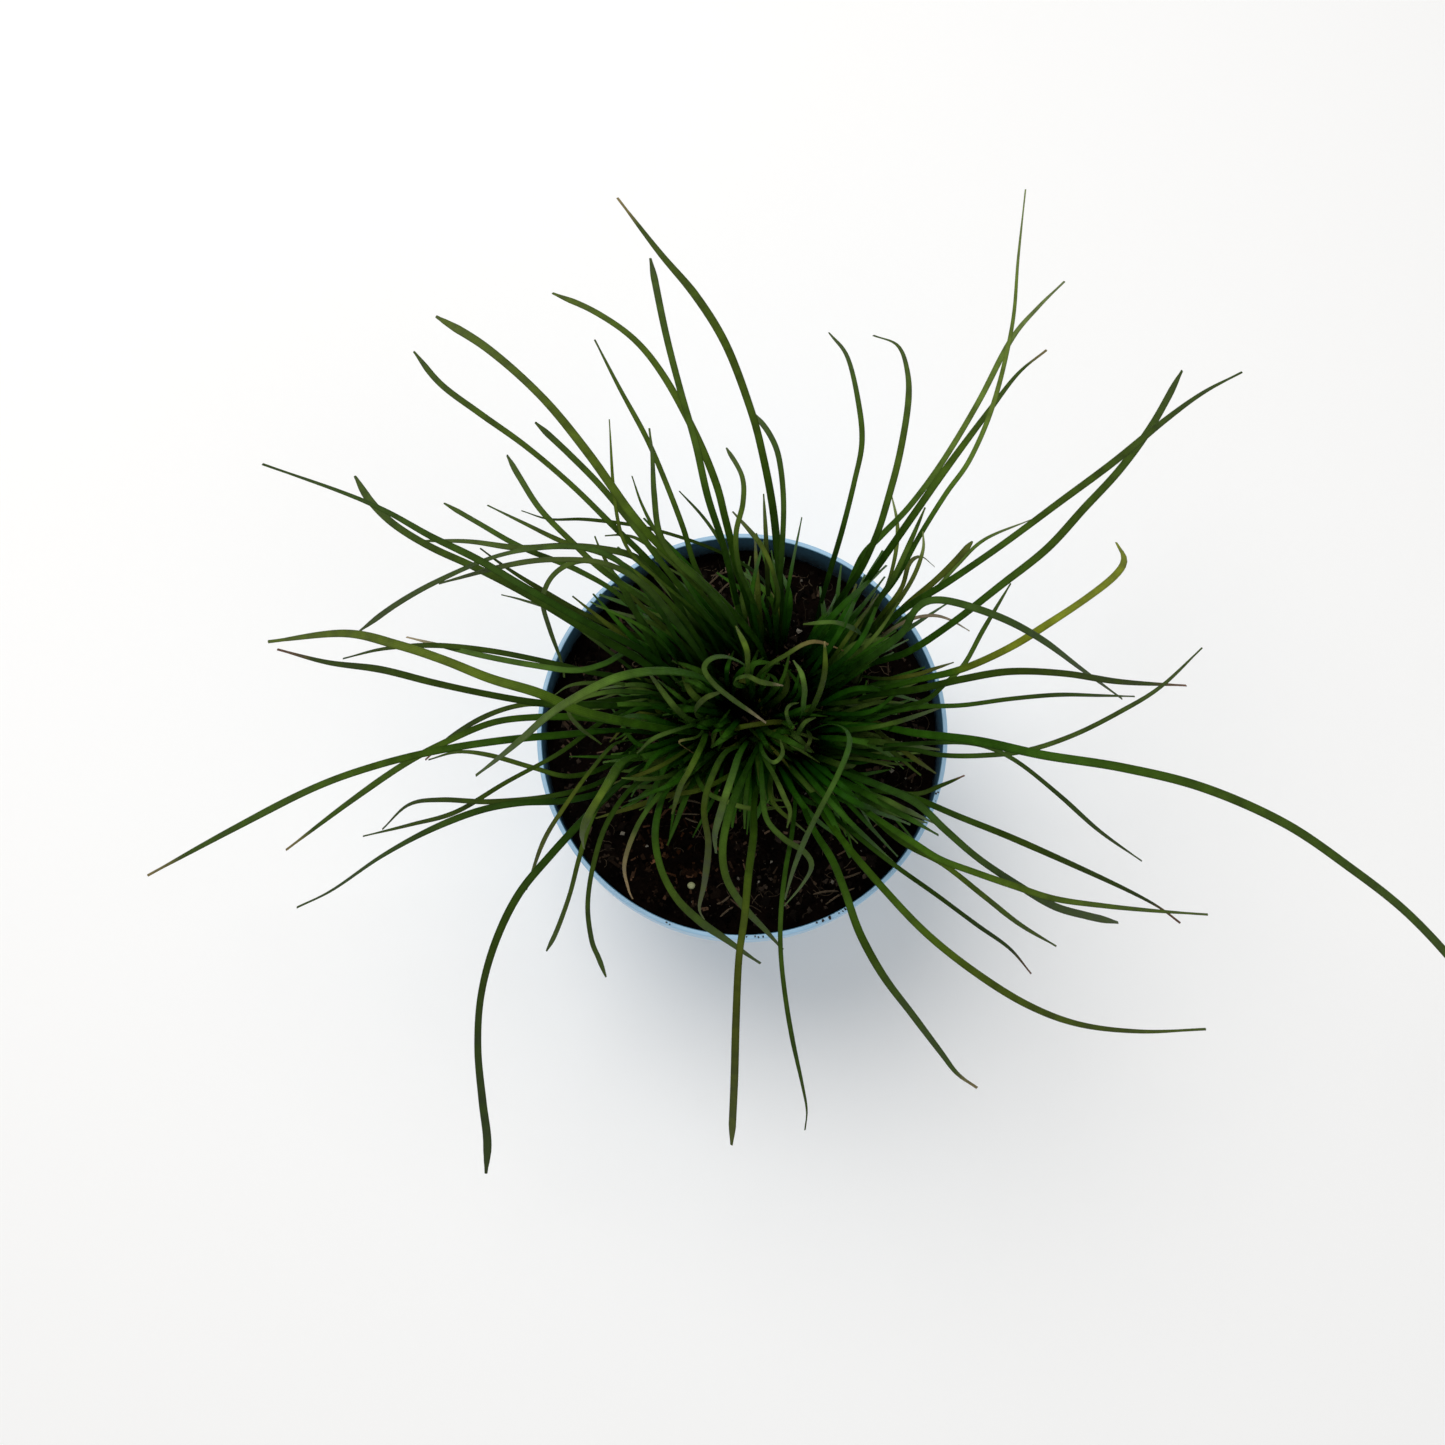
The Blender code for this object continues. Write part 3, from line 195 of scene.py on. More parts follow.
# Each leaf: its node, width, crest and tip above the soil, tone, route from root to tip, and how it comes
# to its point. A width and a route are what the eye sees, in mm on the plane of the rim from the rim's
# middle, +X right and +Y up.
LEAVES = (
    Leaf("leaf_01", 2.5, 100, 30, "green", [(-15, 9.5), (-31, 22.5), (-51, 34), (-70, 45.5), (-85, 53.5),
         (-100, 60.5), (-112, 68), (-120, 76), (-125, 84)], BLUNT),
    Leaf("leaf_02", 2.4, 112, 35, "dark", [(-13, 12.5), (-31, 26), (-51, 36.5), (-70, 47.5), (-85, 56.5),
         (-100, 64), (-115, 72.5), (-130, 79), (-155, 88)], LONG),
    Leaf("leaf_03", 2.2, 92, 50, "grey", [(-9, 19.5), (-16, 33), (-24, 48), (-34, 57), (-46, 60),
         (-58, 60.8), (-72, 60.2), (-88, 62.3), (-105, 62.5)]),
    Leaf("leaf_04", 1.9, 128, 25, "grey", [(-12, 16.5), (-20, 29), (-29, 44), (-40, 56), (-52, 60.5),
         (-66, 60), (-80, 57), (-97, 49.5), (-110, 42), (-122, 33)], BLUNT),
    Leaf("leaf_05", 1.8, 88, 45, "green", [(-17, 13), (-27, 29), (-38, 43.5), (-53, 53), (-71, 60.5),
         (-85, 68.5), (-96, 75)], BLUNT),
    Leaf("leaf_06", 2.0, 115, 75, "green", [(-8.5, 23.5), (-18, 33), (-31, 43), (-45, 53), (-55, 62.5),
         (-65, 73), (-72, 84), (-76, 91)], BLUNT),
    Leaf("leaf_07", 2.1, 150, 60, "pale", [(-21.5, 14.5), (-28, 27), (-36, 43), (-41, 51), (-48, 55.7),
         (-55, 55), (-61, 50.5), (-63.7, 43), (-61.5, 34), (-57.5, 23), (-56.5, 18)]),
    Leaf("leaf_08", 2.0, 106, 40, "green", [(-5, 20), (-10, 31), (-19, 43), (-30, 56), (-41, 67), (-55, 81),
         (-70, 94), (-85, 105), (-98, 115), (-107, 126)], BLUNT),
    Leaf("leaf_09", 2.8, 126, 35, "bright", [(8.5, 20), (5, 29), (-3, 39), (-14, 50), (-26, 60.5),
         (-36, 72), (-50, 92), (-65, 110.5), (-83, 127), (-100, 138)], BLUNT),
    Leaf("leaf_10", 2.0, 120, 85, "green", [(-1, 19), (0.5, 27), (-4, 38), (-12, 47.5), (-21, 56),
         (-26.5, 65), (-28.3, 78), (-29, 91), (-30, 100)]),
    Leaf("leaf_11", 1.8, 98, 60, "green", [(4.5, 23.5), (-1, 33), (-9, 43), (-15, 54), (-19, 67), (-25, 83),
         (-31, 97), (-40, 114), (-48, 130)]),
    Leaf("leaf_12", 2.6, 135, 60, "green_tan", [(12.5, 28), (12.8, 40), (11.7, 55), (10, 73), (7, 90),
         (3, 106), (-5, 128), (-15, 145), (-27, 160), (-41, 179)]),
    Leaf("leaf_13", 2.3, 122, 70, "green", [(1, 30.5), (-2, 44), (-6, 61), (-11, 77), (-15, 95), (-20, 113),
         (-25, 133), (-30, 158)], BLUNT),
    Leaf("leaf_14", 2.4, 108, 55, "bright", [(5, 27), (2, 41), (-2, 56), (-5.4, 70), (-8.5, 82), (-15, 98),
         (-25, 117), (-35, 130), (-48, 139.5), (-62, 146)], BLUNT),
    Leaf("leaf_15", 1.8, 118, 75, "green", [(23, 33), (25.2, 42), (28.5, 53.5), (32.5, 67), (36.3, 82),
         (38.9, 95), (38, 108), (34.5, 124), (28.5, 132.5)], BLUNT),
    Leaf("leaf_16", 2.2, 130, 70, "green", [(26, 34.5), (31, 43), (38, 53), (43.5, 65), (47, 76), (51, 91),
         (54, 108), (54, 119), (51, 128), (43, 131.5)]),
    Leaf("leaf_17", 2.0, 105, 50, "spring", [(28, 30.5), (32, 42), (38, 56.5), (44.5, 64), (54, 74),
         (65, 89), (77, 109), (88, 130), (97, 141), (106, 150)]),
    Leaf("leaf_18", 2.4, 114, 65, "green_tan", [(31.5, 32), (36.5, 44), (45, 56.3), (54.5, 70), (66, 86.5),
         (80, 105.5), (90, 118.5), (99.5, 126.5)], LONG),
    Leaf("leaf_19", 1.6, 122, 60, "spring", [(34, 33.5), (41, 40), (49, 49.5), (57, 64), (65.7, 78),
         (74, 90), (82, 109), (88.5, 135), (91, 158), (94, 182)], LONG),
    Leaf("leaf_20", 2.3, 118, 30, "green", [(33, 20.5), (40, 29), (51, 39.5), (66, 49), (84, 61.5),
         (102, 75), (120, 88.5), (137, 102.5), (150, 112), (163, 119)]),
    Leaf("leaf_21", 2.5, 100, 35, "green", [(30, 16.5), (41, 22.3), (53, 26.3), (67, 35.5), (83, 48),
         (98, 60), (110, 73), (122, 86), (133, 101), (143.5, 119.5)], BLUNT),
    Leaf("leaf_22", 2.4, 132, 25, "grey", [(26, 14.5), (34, 20.5), (44, 26.5), (51.5, 33), (55.5, 40),
         (61, 43), (70, 41.8), (84, 36.7), (96, 29.8), (108, 20.5), (120.5, 11)]),
    Leaf("leaf_23", 2.4, 104, 45, "yellow", [(29.5, 13), (42, 14), (56, 17.2), (70, 20.7), (85, 27.5),
         (98, 35.5), (110, 43.5), (119.2, 50.8), (122.6, 56.3), (120.2, 62)], BLUNT),
    Leaf("leaf_24", 2.3, 96, 20, "dark_brown", [(30, 9), (42, 12.2), (56, 14.2), (70, 17.4), (85, 19.8),
         (102, 19.2), (120, 16.5), (141, 15.3)]),
    Leaf("leaf_25", 1.5, 102, 35, "green", [(31.5, 3.8), (42, 5.4), (55.8, 8.3), (70, 9), (85, 11),
         (100, 12.3), (113, 12.1), (124.5, 11.8)]),
    Leaf("leaf_26", 1.6, 84, 30, "grey", [(28, -5), (39, -5.5), (52, -5), (63, -7), (76, -7.1), (90, -5.5),
         (105, -0.5), (120, 7), (133, 15), (146.5, 27.5)]),
    Leaf("leaf_27", 2.9, 120, -25, "green", [(27.5, 0.5), (40, 2.6), (55, 0), (75, -2.6), (95, -7),
         (120, -11), (145, -17.3), (170, -28.5), (190, -42.5), (207, -56.5), (222, -73.5),
         (233, -90)], BLUNT),
    Leaf("leaf_28", 1.5, 98, 35, "grey", [(31, -2), (42, -3.8), (57, -3.2), (70, -3), (79, -5), (88, -10),
         (100, -20), (112, -31), (125, -40.5)]),
    Leaf("leaf_29", 2.1, 92, 20, "dark_brown", [(28, -8.5), (38, -14), (47, -18), (56, -21.3), (68, -26.5),
         (84, -33), (103, -41.5), (120, -49.5), (130, -55), (136.3, -59.8)], LONG),
    Leaf("leaf_30", 2.4, 128, 30, "grey", [(24.5, -9.5), (34, -13.5), (45, -17.5), (55, -22.5), (64, -31),
         (74, -39.8), (86, -48), (97, -54.5), (107, -57.5), (117, -59.7)], BLUNT),
    Leaf("leaf_31", 2.2, 106, 20, "bright", [(27, -16), (36, -22.5), (45, -29), (54, -35), (62, -40),
         (72, -43.8), (84, -48), (97, -52.2), (112, -54.4), (128, -56), (145, -57.2)], LONG),
    Leaf("leaf_32", 1.5, 86, 25, "dark_brown", [(20.5, -18.5), (28.7, -26.5), (39.2, -35.3), (49.5, -43.2),
         (60, -50.7), (72.8, -60.3), (83, -67.7), (89.5, -75.5)]),
    Leaf("leaf_33", 2.4, 112, 5, "bright", [(21, -13.5), (24, -23.3), (32, -34.8), (43.5, -48.5),
         (57, -62.9), (72, -75), (88, -85), (104, -91), (123, -93.2), (143, -92.5)], LONG),
    Leaf("leaf_34", 2.5, 118, 15, "green_tan", [(16.5, -17), (22, -30), (28, -40), (32, -50), (36.5, -63),
         (43.5, -76), (52, -87.5), (61, -99.5), (66, -106), (72, -110.3)]),
    Leaf("leaf_35", 1.5, 104, 45, "green", [(13.5, -10.5), (16.5, -20), (15.5, -32), (13.5, -43), (12, -56),
         (11.8, -68), (13, -81), (15.2, -95), (18.2, -109), (19.6, -117), (19, -123)]),
    Leaf("leaf_36", 2.4, 120, 40, "olive", [(6.5, -11), (3.8, -21.6), (3.5, -32), (1.8, -45), (0.6, -58),
         (-1.2, -71), (-2.1, -90), (-2.6, -108), (-3.5, -127.5)], BLUNT),
    Leaf("leaf_37", 2.4, 98, 30, "green", [(-19, -13.5), (-25, -20.5), (-27.4, -32), (-25.5, -43),
         (-20.5, -52.3), (-13, -59.5), (-5.5, -64.7), (1.3, -69.5), (5.5, -72.3)]),
    Leaf("leaf_38", 2.5, 114, 0, "dark", [(-27, -6.5), (-37, -15), (-49, -26.5), (-60, -38.5), (-70, -51),
         (-77, -66), (-81, -82), (-81.7, -98), (-80, -114), (-78.3, -126), (-78.5, -136)], BLUNT),
    Leaf("leaf_39", 2.2, 100, 10, "dark", [(-29, -10.5), (-42, -18), (-56, -21.5), (-70, -22.2),
         (-83, -24.7), (-98, -30.7), (-113, -39), (-128, -49.5), (-139, -55)], LONG),
    Leaf("leaf_40", 2.4, 100, -20, "green_tan", [(-21, -1.5), (-38, 0.9), (-56.5, -0.5), (-75, -2.2),
         (-95, -5.3), (-115, -10.2), (-135, -17.5), (-160, -30.5), (-186, -45)]),
    Leaf("leaf_41", 2.2, 92, 15, "green_tan", [(-18.5, 2), (-34, 2.8), (-50, 5), (-66, 5.1), (-79, 3.4),
         (-92, -2), (-106, -9.5), (-123, -21.5), (-143, -37)]),
    Leaf("leaf_42", 3.1, 122, 30, "bright", [(-12, 0), (-24, 1.3), (-40, 4.2), (-53, 7.7), (-65, 13),
         (-80, 17.5), (-95, 23.5), (-110, 28.5), (-127, 32.2), (-151, 29.5)]),
    Leaf("leaf_43", 2.3, 106, 25, "dark_brown", [(-22, 6), (-38, 8.6), (-54, 9.2), (-66, 9.9), (-82, 12.7),
         (-98, 16.2), (-115, 20.5), (-132, 22.8), (-148, 27)]),
    Leaf("leaf_44", 2.8, 152, 60, "pale", [(-4, 11.5), (-13, 17.8), (-25, 20), (-38.7, 18.2), (-51, 12.5),
         (-61, 6), (-69, -1.2), (-77, -8), (-84, -13.5)]),
    *tuft("tuft_01", (-6, 15.5),
          (1.7, 92, 55, "dark", [(-20, 25.5), (-36, 32.3), (-51, 38.8), (-66, 47.5), (-76, 54), (-84, 60)]),
          (2.2, 118, 60, "grey", [(-18, 32), (-31, 47.5), (-44, 55), (-60, 56.3), (-75, 54.5),
           (-97, 48.5)]),
          (1.7, 100, 60, "green", [(-14, 31), (-27, 46), (-42, 57), (-57, 62), (-70, 68.3), (-82, 74.3)]),
          (1.6, 80, 76, "green", [(-17, 27), (-30, 39), (-40, 50), (-45, 58.5), (-47.3, 64)])),
    *tuft("tuft_02", (1.5, 24),
          (2.0, 106, 70, "green", [(-9, 35), (-21, 49), (-33, 65), (-45, 80), (-56, 91.5),
           (-67, 102)], BLUNT),
          (1.3, 90, 84, "green", [(-5, 38), (-16, 51), (-26, 63), (-32, 74), (-35.5, 84)]),
          (1.2, 112, 95, "bright", [(-12, 37), (-27, 50), (-37, 60.5), (-41, 76), (-43, 103)]),
          (1.4, 76, 58, "green", [(-9, 40.5), (-21, 54), (-32, 62.3), (-38, 64.4), (-44, 64.2)])),
    *tuft("tuft_03", (8.5, 32),
          (1.9, 126, 90, "green", [(11.2, 45), (12.8, 60), (13.4, 76), (12, 90), (9, 98), (4, 105)], BLUNT),
          (1.5, 100, 98, "grey", [(8.3, 46), (7.8, 62), (7, 78)]),
          (1.7, 112, 84, "olive", [(11.5, 43), (9.7, 53), (6.5, 60.5), (2.8, 65.5), (-3, 72.2)]),
          (1.3, 86, 60, "dark", [(2.5, 42), (-2.5, 53), (-7.5, 63), (-13, 71), (-20.2, 79)]),
          (1.7, 132, 104, "green", [(3.5, 43), (-1, 54), (-1.9, 65), (0.3, 75), (0, 84),
           (-5, 93.5)], BLUNT),
          (1.2, 74, 45, "dark", [(9, 43), (5, 51), (-4, 57.3), (-17, 62.8), (-33, 67.3), (-50, 69.6),
           (-62, 69.7), (-71, 72.5)])),
    *tuft("tuft_04", (37, 28.5),
          (1.8, 112, 100, "green", [(42.5, 41), (48.5, 50.5), (53.8, 61.5), (59, 73.5)]),
          (1.3, 86, 80, "spring", [(42, 39), (46.5, 48), (49.3, 58.5), (50, 68), (48.2, 78)]),
          (1.6, 96, 62, "olive", [(44.5, 38), (51, 47), (53.6, 55), (57.5, 57.3), (61.7, 54)]),
          (1.5, 122, 100, "spring", [(46, 37.5), (54, 49), (58, 59), (58.2, 65.5)]),
          (2.0, 108, 92, "olive", [(46, 35.5), (54, 42.8), (62, 49.5), (68.5, 56), (74, 62.3)], BLUNT),
          (1.2, 84, 58, "spring", [(49, 35), (60, 44.5), (69, 54.5), (78, 63), (93, 69.5)]),
          (1.7, 112, 92, "pale", [(38.7, 31.3), (35.5, 33.8), (29, 35.8), (19.5, 35.2)])),
    *tuft("tuft_05", (36, 18),
          (1.1, 92, 58, "dry", [(43, 29.5), (52, 36), (60, 38), (66, 36.8), (72.5, 33)]),
          (1.3, 66, 52, "olive", [(46, 17.5), (55, 18.8), (61, 20.7), (67.3, 22.8)])),
    *tuft("tuft_06", (2, 12.5),
          (1.4, 92, 70, "tan_end", [(7, 20.5), (14, 25.2), (20, 28.8), (25, 29.3), (33, 26.3)]),
          (1.9, 146, 84, "pale_tan", [(1.5, 20.5), (-4, 24.3), (-9.5, 24.1), (-12.1, 20.8), (-9, 15.8),
           (-3, 10.8), (3, 6.6), (7.5, 3.3)]),
          (1.7, 112, 84, "pale_tan", [(-2.5, 16.5), (1.5, 18.3), (6, 16.4), (13, 15.3)]),
          (1.8, 124, 112, "bright", [(1.6, 20), (1.4, 27), (-2, 34.6)])),
    *tuft("tuft_07", (19.5, 2.5),
          (1.8, 138, 134, "green_tan", [(22.5, 8.5), (25, 14.5), (26.4, 21), (26.3, 29.5)]),
          (1.8, 132, 58, "pale", [(27, 4), (32.5, 1.5), (33.7, -4), (30, -13.5), (24.2, -24.5), (19.5, -34),
           (15.8, -43.5), (13.2, -52.5)]),
          (1.7, 126, 116, "pale", [(19.4, 9.5), (19.8, 14), (18.8, 19.3), (16.3, 23.4)]),
          (1.4, 82, 76, "pale", [(17.2, -0.5), (20, 3.6), (23.2, 5)]),
          (1.3, 98, 72, "pale", [(15.5, 2.8), (14, 6.6), (15.2, 9), (18, 9.8)]),
          (1.4, 66, 58, "grey", [(21.5, -1.5), (19.5, -6)])),
    *tuft("tuft_08", (36, 7.5),
          (1.6, 88, 66, "green", [(48, 8.2), (58, 10.5), (64, 15.5), (70.7, 22.3), (77, 33.5), (86, 48.5)]),
          (1.6, 58, 42, "olive", [(43, 0.5), (52, -6.5), (61, -12.8)])),
    *tuft("tuft_09", (32.5, -17.5),
          (1.8, 100, 40, "bright", [(41.5, -27.5), (52, -35.7), (63, -41.6), (75, -51.2), (86, -60),
           (97.5, -67)]),
          (1.6, 74, 50, "pale", [(42, -23.3), (51, -26.6), (58, -28.5)]),
          (1.8, 86, 58, "pale", [(42, -19.8), (51, -24.2), (60, -28.5)]),
          (1.5, 60, 54, "dark_brown", [(43, -18.5), (55, -19.3), (63, -16.5), (70, -13.5)])),
    *tuft("tuft_10", (-23, 11),
          (1.8, 94, 36, "dark_brown", [(-40, 10.5), (-56, 8.8), (-68, 9.3), (-80, 6), (-92, -1),
           (-100, -8.5)]),
          (1.5, 80, 18, "green", [(-36, 7.5), (-46, 2.5), (-58, -6.5), (-74.5, -15.7), (-90, -25),
           (-104, -29), (-119, -32.7)]),
          (1.9, 96, 46, "pale_tan", [(-30, 21), (-36, 26), (-44, 22.3), (-53, 20.2), (-66, 21.8),
           (-84, 25.3), (-107, 31)]),
          (1.8, 78, 30, "dark", [(-36, 17), (-48, 19.5), (-61, 22.7), (-80, 26.5), (-98, 28.3),
           (-114, 27.2), (-127, 24)]),
          (1.2, 66, 30, "grey", [(-35, 20.5), (-47, 30), (-59, 39), (-70, 43), (-77, 44.8)]),
          (1.6, 110, 66, "pale", [(-38, 13.5), (-50, 11.5), (-55, 7.5), (-51.5, 2), (-44.5, -3.5)]),
          (1.2, 64, 52, "pale", [(-36, 15.5), (-48, 16.2), (-55, 15.2), (-59.5, 12.3)])),
    *tuft("tuft_11", (-31, -4.5),
          (1.7, 84, 22, "dark", [(-45, -15.5), (-60, -20), (-79, -21.8), (-95, -21.2), (-105, -22.8),
           (-113, -30.5)]),
          (1.6, 64, 30, "green", [(-43, -11), (-55, -13.7), (-66, -11), (-80, -7), (-90, -6), (-99, -8.5)]),
          (1.4, 98, 40, "olive", [(-40, -4), (-47.5, -11.5), (-56, -23.5), (-62.5, -34.5), (-67.5, -49.5)]),
          (2.7, 116, 60, "bright", [(-38, -9), (-43, -17), (-48.5, -26.5), (-50.3, -32), (-49.7, -36.5)]),
          (1.5, 86, 28, "green", [(-40, -14.5), (-47, -26.5), (-51, -39), (-54, -51), (-58, -62.5),
           (-61, -68.5)], BLUNT)),
    *tuft("tuft_12", (-17, -8.5),
          (1.6, 84, 30, "green", [(-33, -16), (-42, -27.5), (-46.5, -41), (-48.3, -54), (-47, -65),
           (-44.8, -70.5), (-42.4, -76.5)], BLUNT),
          (1.6, 70, 12, "tan_end", [(-27, -20.5), (-33, -29.5), (-36.9, -41), (-35.7, -49),
           (-34.3, -52.3)]),
          (1.6, 60, 48, "pale", [(-12, -18), (-5, -21.7), (3, -24), (13.8, -23.4)]),
          (1.4, 74, 62, "pale", [(-22, -13), (-29, -14.6), (-38, -14.3)])),
    *tuft("tuft_13", (-10.5, 4),
          (2.1, 84, 44, "bright", [(-12.5, -3), (-16.5, -11.5), (-19.6, -17.3), (-22.1, -25.7)]),
          (0.9, 70, 56, "tan_end", [(-14, -1), (-20, -2.8), (-15.5, -6.3)]),
          (1.8, 62, 56, "olive", [(-5.5, 1.2), (2, 2.4), (10, 3.5), (17.8, 3.5)]),
          (1.4, 88, 78, "pale", [(-20, 1.3), (-28, -1.7), (-33.3, -6.5)]),
          (1.8, 96, 90, "grey", [(-15, 6.5), (-12, 11), (-6, 13.5)])),
    *tuft("tuft_14", (4, -3.5),
          (2.3, 132, 74, "pale", [(3.2, -3.8), (-1, -8), (-4, -16), (-6.5, -24), (-8.6, -32), (-8.3, -38)]),
          (2.4, 104, 40, "green", [(0, -14), (-4, -25), (-6.2, -36), (-5, -46), (0.5, -55), (6.6, -61.5),
           (12.5, -68)]),
          (2.0, 116, 24, "olive", [(-4.5, -6), (-9.8, -14.5), (-12.1, -24), (-10.7, -35), (-11.8, -46.7),
           (-13.5, -55), (-12, -58.7)]),
          (1.8, 94, 40, "pale", [(6, -16), (7.5, -27), (13, -33.5), (19, -37.3), (21.6, -42), (18.5, -48),
           (13, -54.5)]),
          (1.7, 86, 68, "pale", [(9.5, -12.5), (13.2, -20.5), (15, -25), (14, -30)]),
          (1.5, 68, 60, "green", [(5.5, -13), (7.6, -22.5)]),
          (1.4, 106, 74, "pale", [(7, -7), (10, -9.3), (12.7, -6.5), (12, -2)]),
          (1.7, 62, 38, "olive", [(-3, -12.5), (-13.5, -18), (-23, -19.7), (-35, -23.7), (-46, -27)])),
)


def soil_level(x, y):
    """Height of the soil in mm above the floor, a little uneven and lower towards +Y."""
    base = POT_HEIGHT - SOIL_DEPTH_BELOW_RIM
    waves = 0.8 * math.sin(0.11 * x + 1.3) + 0.7 * math.sin(0.13 * y - 0.4)
    return base + waves - 0.02 * y


def true_size(height):
    """The size of a thing at a height, as a share of what it looks on the plane of the rim."""
    return (EYE[2] + POT_HEIGHT - height) / EYE[2]


def sight_point(seen, height):
    """The point at a height, in mm, that the eye sees at a point on the plane of the rim."""
    x = EYE[0] + (seen[0] - EYE[0]) * true_size(height)
    y = EYE[1] + (seen[1] - EYE[1]) * true_size(height)
    return (x, y, height)


def smooth_route(points, count):
    """Evenly spaced points along a smooth line through the given ones."""
    pts = np.array(points, dtype=float)
    if len(pts) == 2:
        pts = np.array((pts[0], (pts[0] + pts[1]) / 2, pts[1]))
    ends = np.vstack((2 * pts[0] - pts[1], pts, 2 * pts[-1] - pts[-2]))
    fine = []
    for i in range(1, len(ends) - 2):
        before, here, there, after = ends[i - 1:i + 3]
        for t in np.linspace(0, 1, 12, endpoint=False):
            slope_in = (there - before) / 2
            slope_out = (after - here) / 2
            fine.append((2 * t ** 3 - 3 * t ** 2 + 1) * here + (t ** 3 - 2 * t ** 2 + t) * slope_in
                        + (3 * t ** 2 - 2 * t ** 3) * there + (t ** 3 - t ** 2) * slope_out)
    fine.append(pts[-1])
    fine = np.array(fine)
    run = np.concatenate(([0.0], np.cumsum(np.linalg.norm(np.diff(fine, axis=0), axis=1))))
    along = np.linspace(0, run[-1], count)
    return np.column_stack([np.interp(along, run, fine[:, k]) for k in range(2)])


def rise(share, crest, tip):
    """Height above the root at a share of the route: up to the crest, then down to the tip."""
    tip = min(tip, crest)
    lift = crest + math.sqrt(crest * crest - crest * tip)
    s = share ** RISE_POWER
    return 2 * s * (1 - s) * lift + s * s * tip


def route_length(points):
    return sum(math.dist(a, b) for a, b in zip(points, points[1:]))


def point_count(leaf):
    reach = route_length(leaf.route) + 0.6 * leaf.crest
    return max(FEWEST_POINTS, min(MOST_POINTS, round(reach / POINT_SPACING)))


def leaf_line(leaf, count):
    """Points in mm along the middle of a leaf, from its root on the soil."""
    share = np.linspace(0, 1, count) ** 1.15
    root_level = POT_HEIGHT - SOIL_DEPTH_BELOW_RIM
    root = sight_point(leaf.route[0], root_level)
    start = soil_level(root[0], root[1]) + LEAF_START
    seen = smooth_route(leaf.route, ROUTE_SAMPLES)
    places = np.round(share * (ROUTE_SAMPLES - 1)).astype(int)
    line = []
    for part, place in zip(share, places):
        line.append(sight_point(seen[place], start + rise(part, leaf.crest, leaf.tip)))
    return share, np.array(line)


def taper(share, point_share):
    """Width at a share of the leaf: narrow at the root, full in the middle, pointed at the tip."""
    root = ROOT_WIDTH + (1.0 - ROOT_WIDTH) * min(1.0, share / ROOT_SHARE)
    point = min(1.0, (1.0 - share) / point_share)
    return root * max(POINT_WIDTH, point ** POINT_POWER)


def width_at(leaf, share, height):
    """Real width in mm of a leaf at a share of its length and a height above the floor."""
    return leaf.width * taper(share, leaf.point) * true_size(height)


def facings(line):
    """The way and the side of a leaf at each of its points: level where it can be, never turned over."""
    legs = np.diff(line, axis=0)
    legs /= np.linalg.norm(legs, axis=1)[:, None]
    ways = np.vstack((legs[:1], legs[:-1] + legs[1:], legs[-1:]))
    ways /= np.linalg.norm(ways, axis=1)[:, None]
    levels = np.column_stack((ways[:, 1], -ways[:, 0], np.zeros(len(ways))))
    slopes = np.linalg.norm(levels, axis=1)
    start = int(np.argmax(slopes))
    sides = np.zeros_like(ways)
    sides[start] = levels[start] / slopes[start]
    for order in (range(start + 1, len(ways)), range(start - 1, -1, -1)):
        side = sides[start]
        for i in order:
            side = side - ways[i] * (side @ ways[i])
            side = side + LEVEL_PULL * slopes[i] * levels[i] * np.sign(side @ levels[i])
            side /= np.linalg.norm(side)
            sides[i] = side
    return ways, sides


def tube_faces(sides, rings):
    """The faces around a tube, from ring to ring, without its ends."""
    faces = []
    for ring in range(rings - 1):
        for k in range(sides):
            a = ring * sides + k
            b = ring * sides + (k + 1) % sides
            faces.append((a, b, b + sides, a + sides))
    return faces


def tube_ends(sides, rings):
    last = (rings - 1) * sides
    return [tuple(reversed(range(sides))), tuple(range(last, last + sides))]


def level_ring(centre, radius, sides, flat=1.0):
    """The corners of a level ring around a point."""
    angles = [math.tau * step / sides for step in range(sides)]
    return [centre + (radius * math.cos(angle), radius * flat * math.sin(angle), 0.0) for angle in angles]


def envelope(leaf, share, line):
    """A closed tube around a leaf, wider than it by the clearance on every side."""
    verts = []
    ways, sides = facings(line)
    for part, point, way, side in zip(share, line, ways, sides):
        up = np.cross(side, way)
        width = width_at(leaf, part, point[2])
        half = width / 2 + LEAF_CLEARANCE
        over = KEEL_TOP * width + LEAF_CLEARANCE
        under = KEEL_DEPTH * width + LEAF_CLEARANCE
        for a, b in ((-half, over), (half, over), (half * 0.6, -under), (-half * 0.6, -under)):
            verts.append(Vector(point + side * a + up * b))
    return verts, tube_ends(4, len(line)) + tube_faces(4, len(line))


def choices(leaf):
    """The leaf as wanted, then with its crest, its tip and its root moved ever further."""
    tuft = leaf.node.startswith("tuft")
    reaches = ROOT_STEPS[:1] if tuft else ROOT_STEPS
    tries = TUFT_CREST_TRIES if tuft else CREST_TRIES
    found = []
    for step in range(-tries, tries + 1):
        crest = leaf.crest + step * CREST_STEP
        if crest < LOWEST_CREST:
            continue
        for lift in TIP_STEPS:
            tip = leaf.tip + (crest - leaf.crest) / 2 + lift
            for reach in reaches:
                for turn in range(ROOT_TURNS if reach else 1):
                    angle = math.tau * turn / ROOT_TURNS
                    x, y = leaf.route[0]
                    root = (x + reach * math.cos(angle), y + reach * math.sin(angle))
                    cost = abs(step) * CREST_STEP + abs(lift) * TIP_STEP_COST + reach * ROOT_STEP_COST
                    moved = leaf._replace(route=[root] + leaf.route[1:], crest=crest, tip=tip)
                    found.append((cost, len(found), moved))
    return [moved for cost, order, moved in sorted(found)]


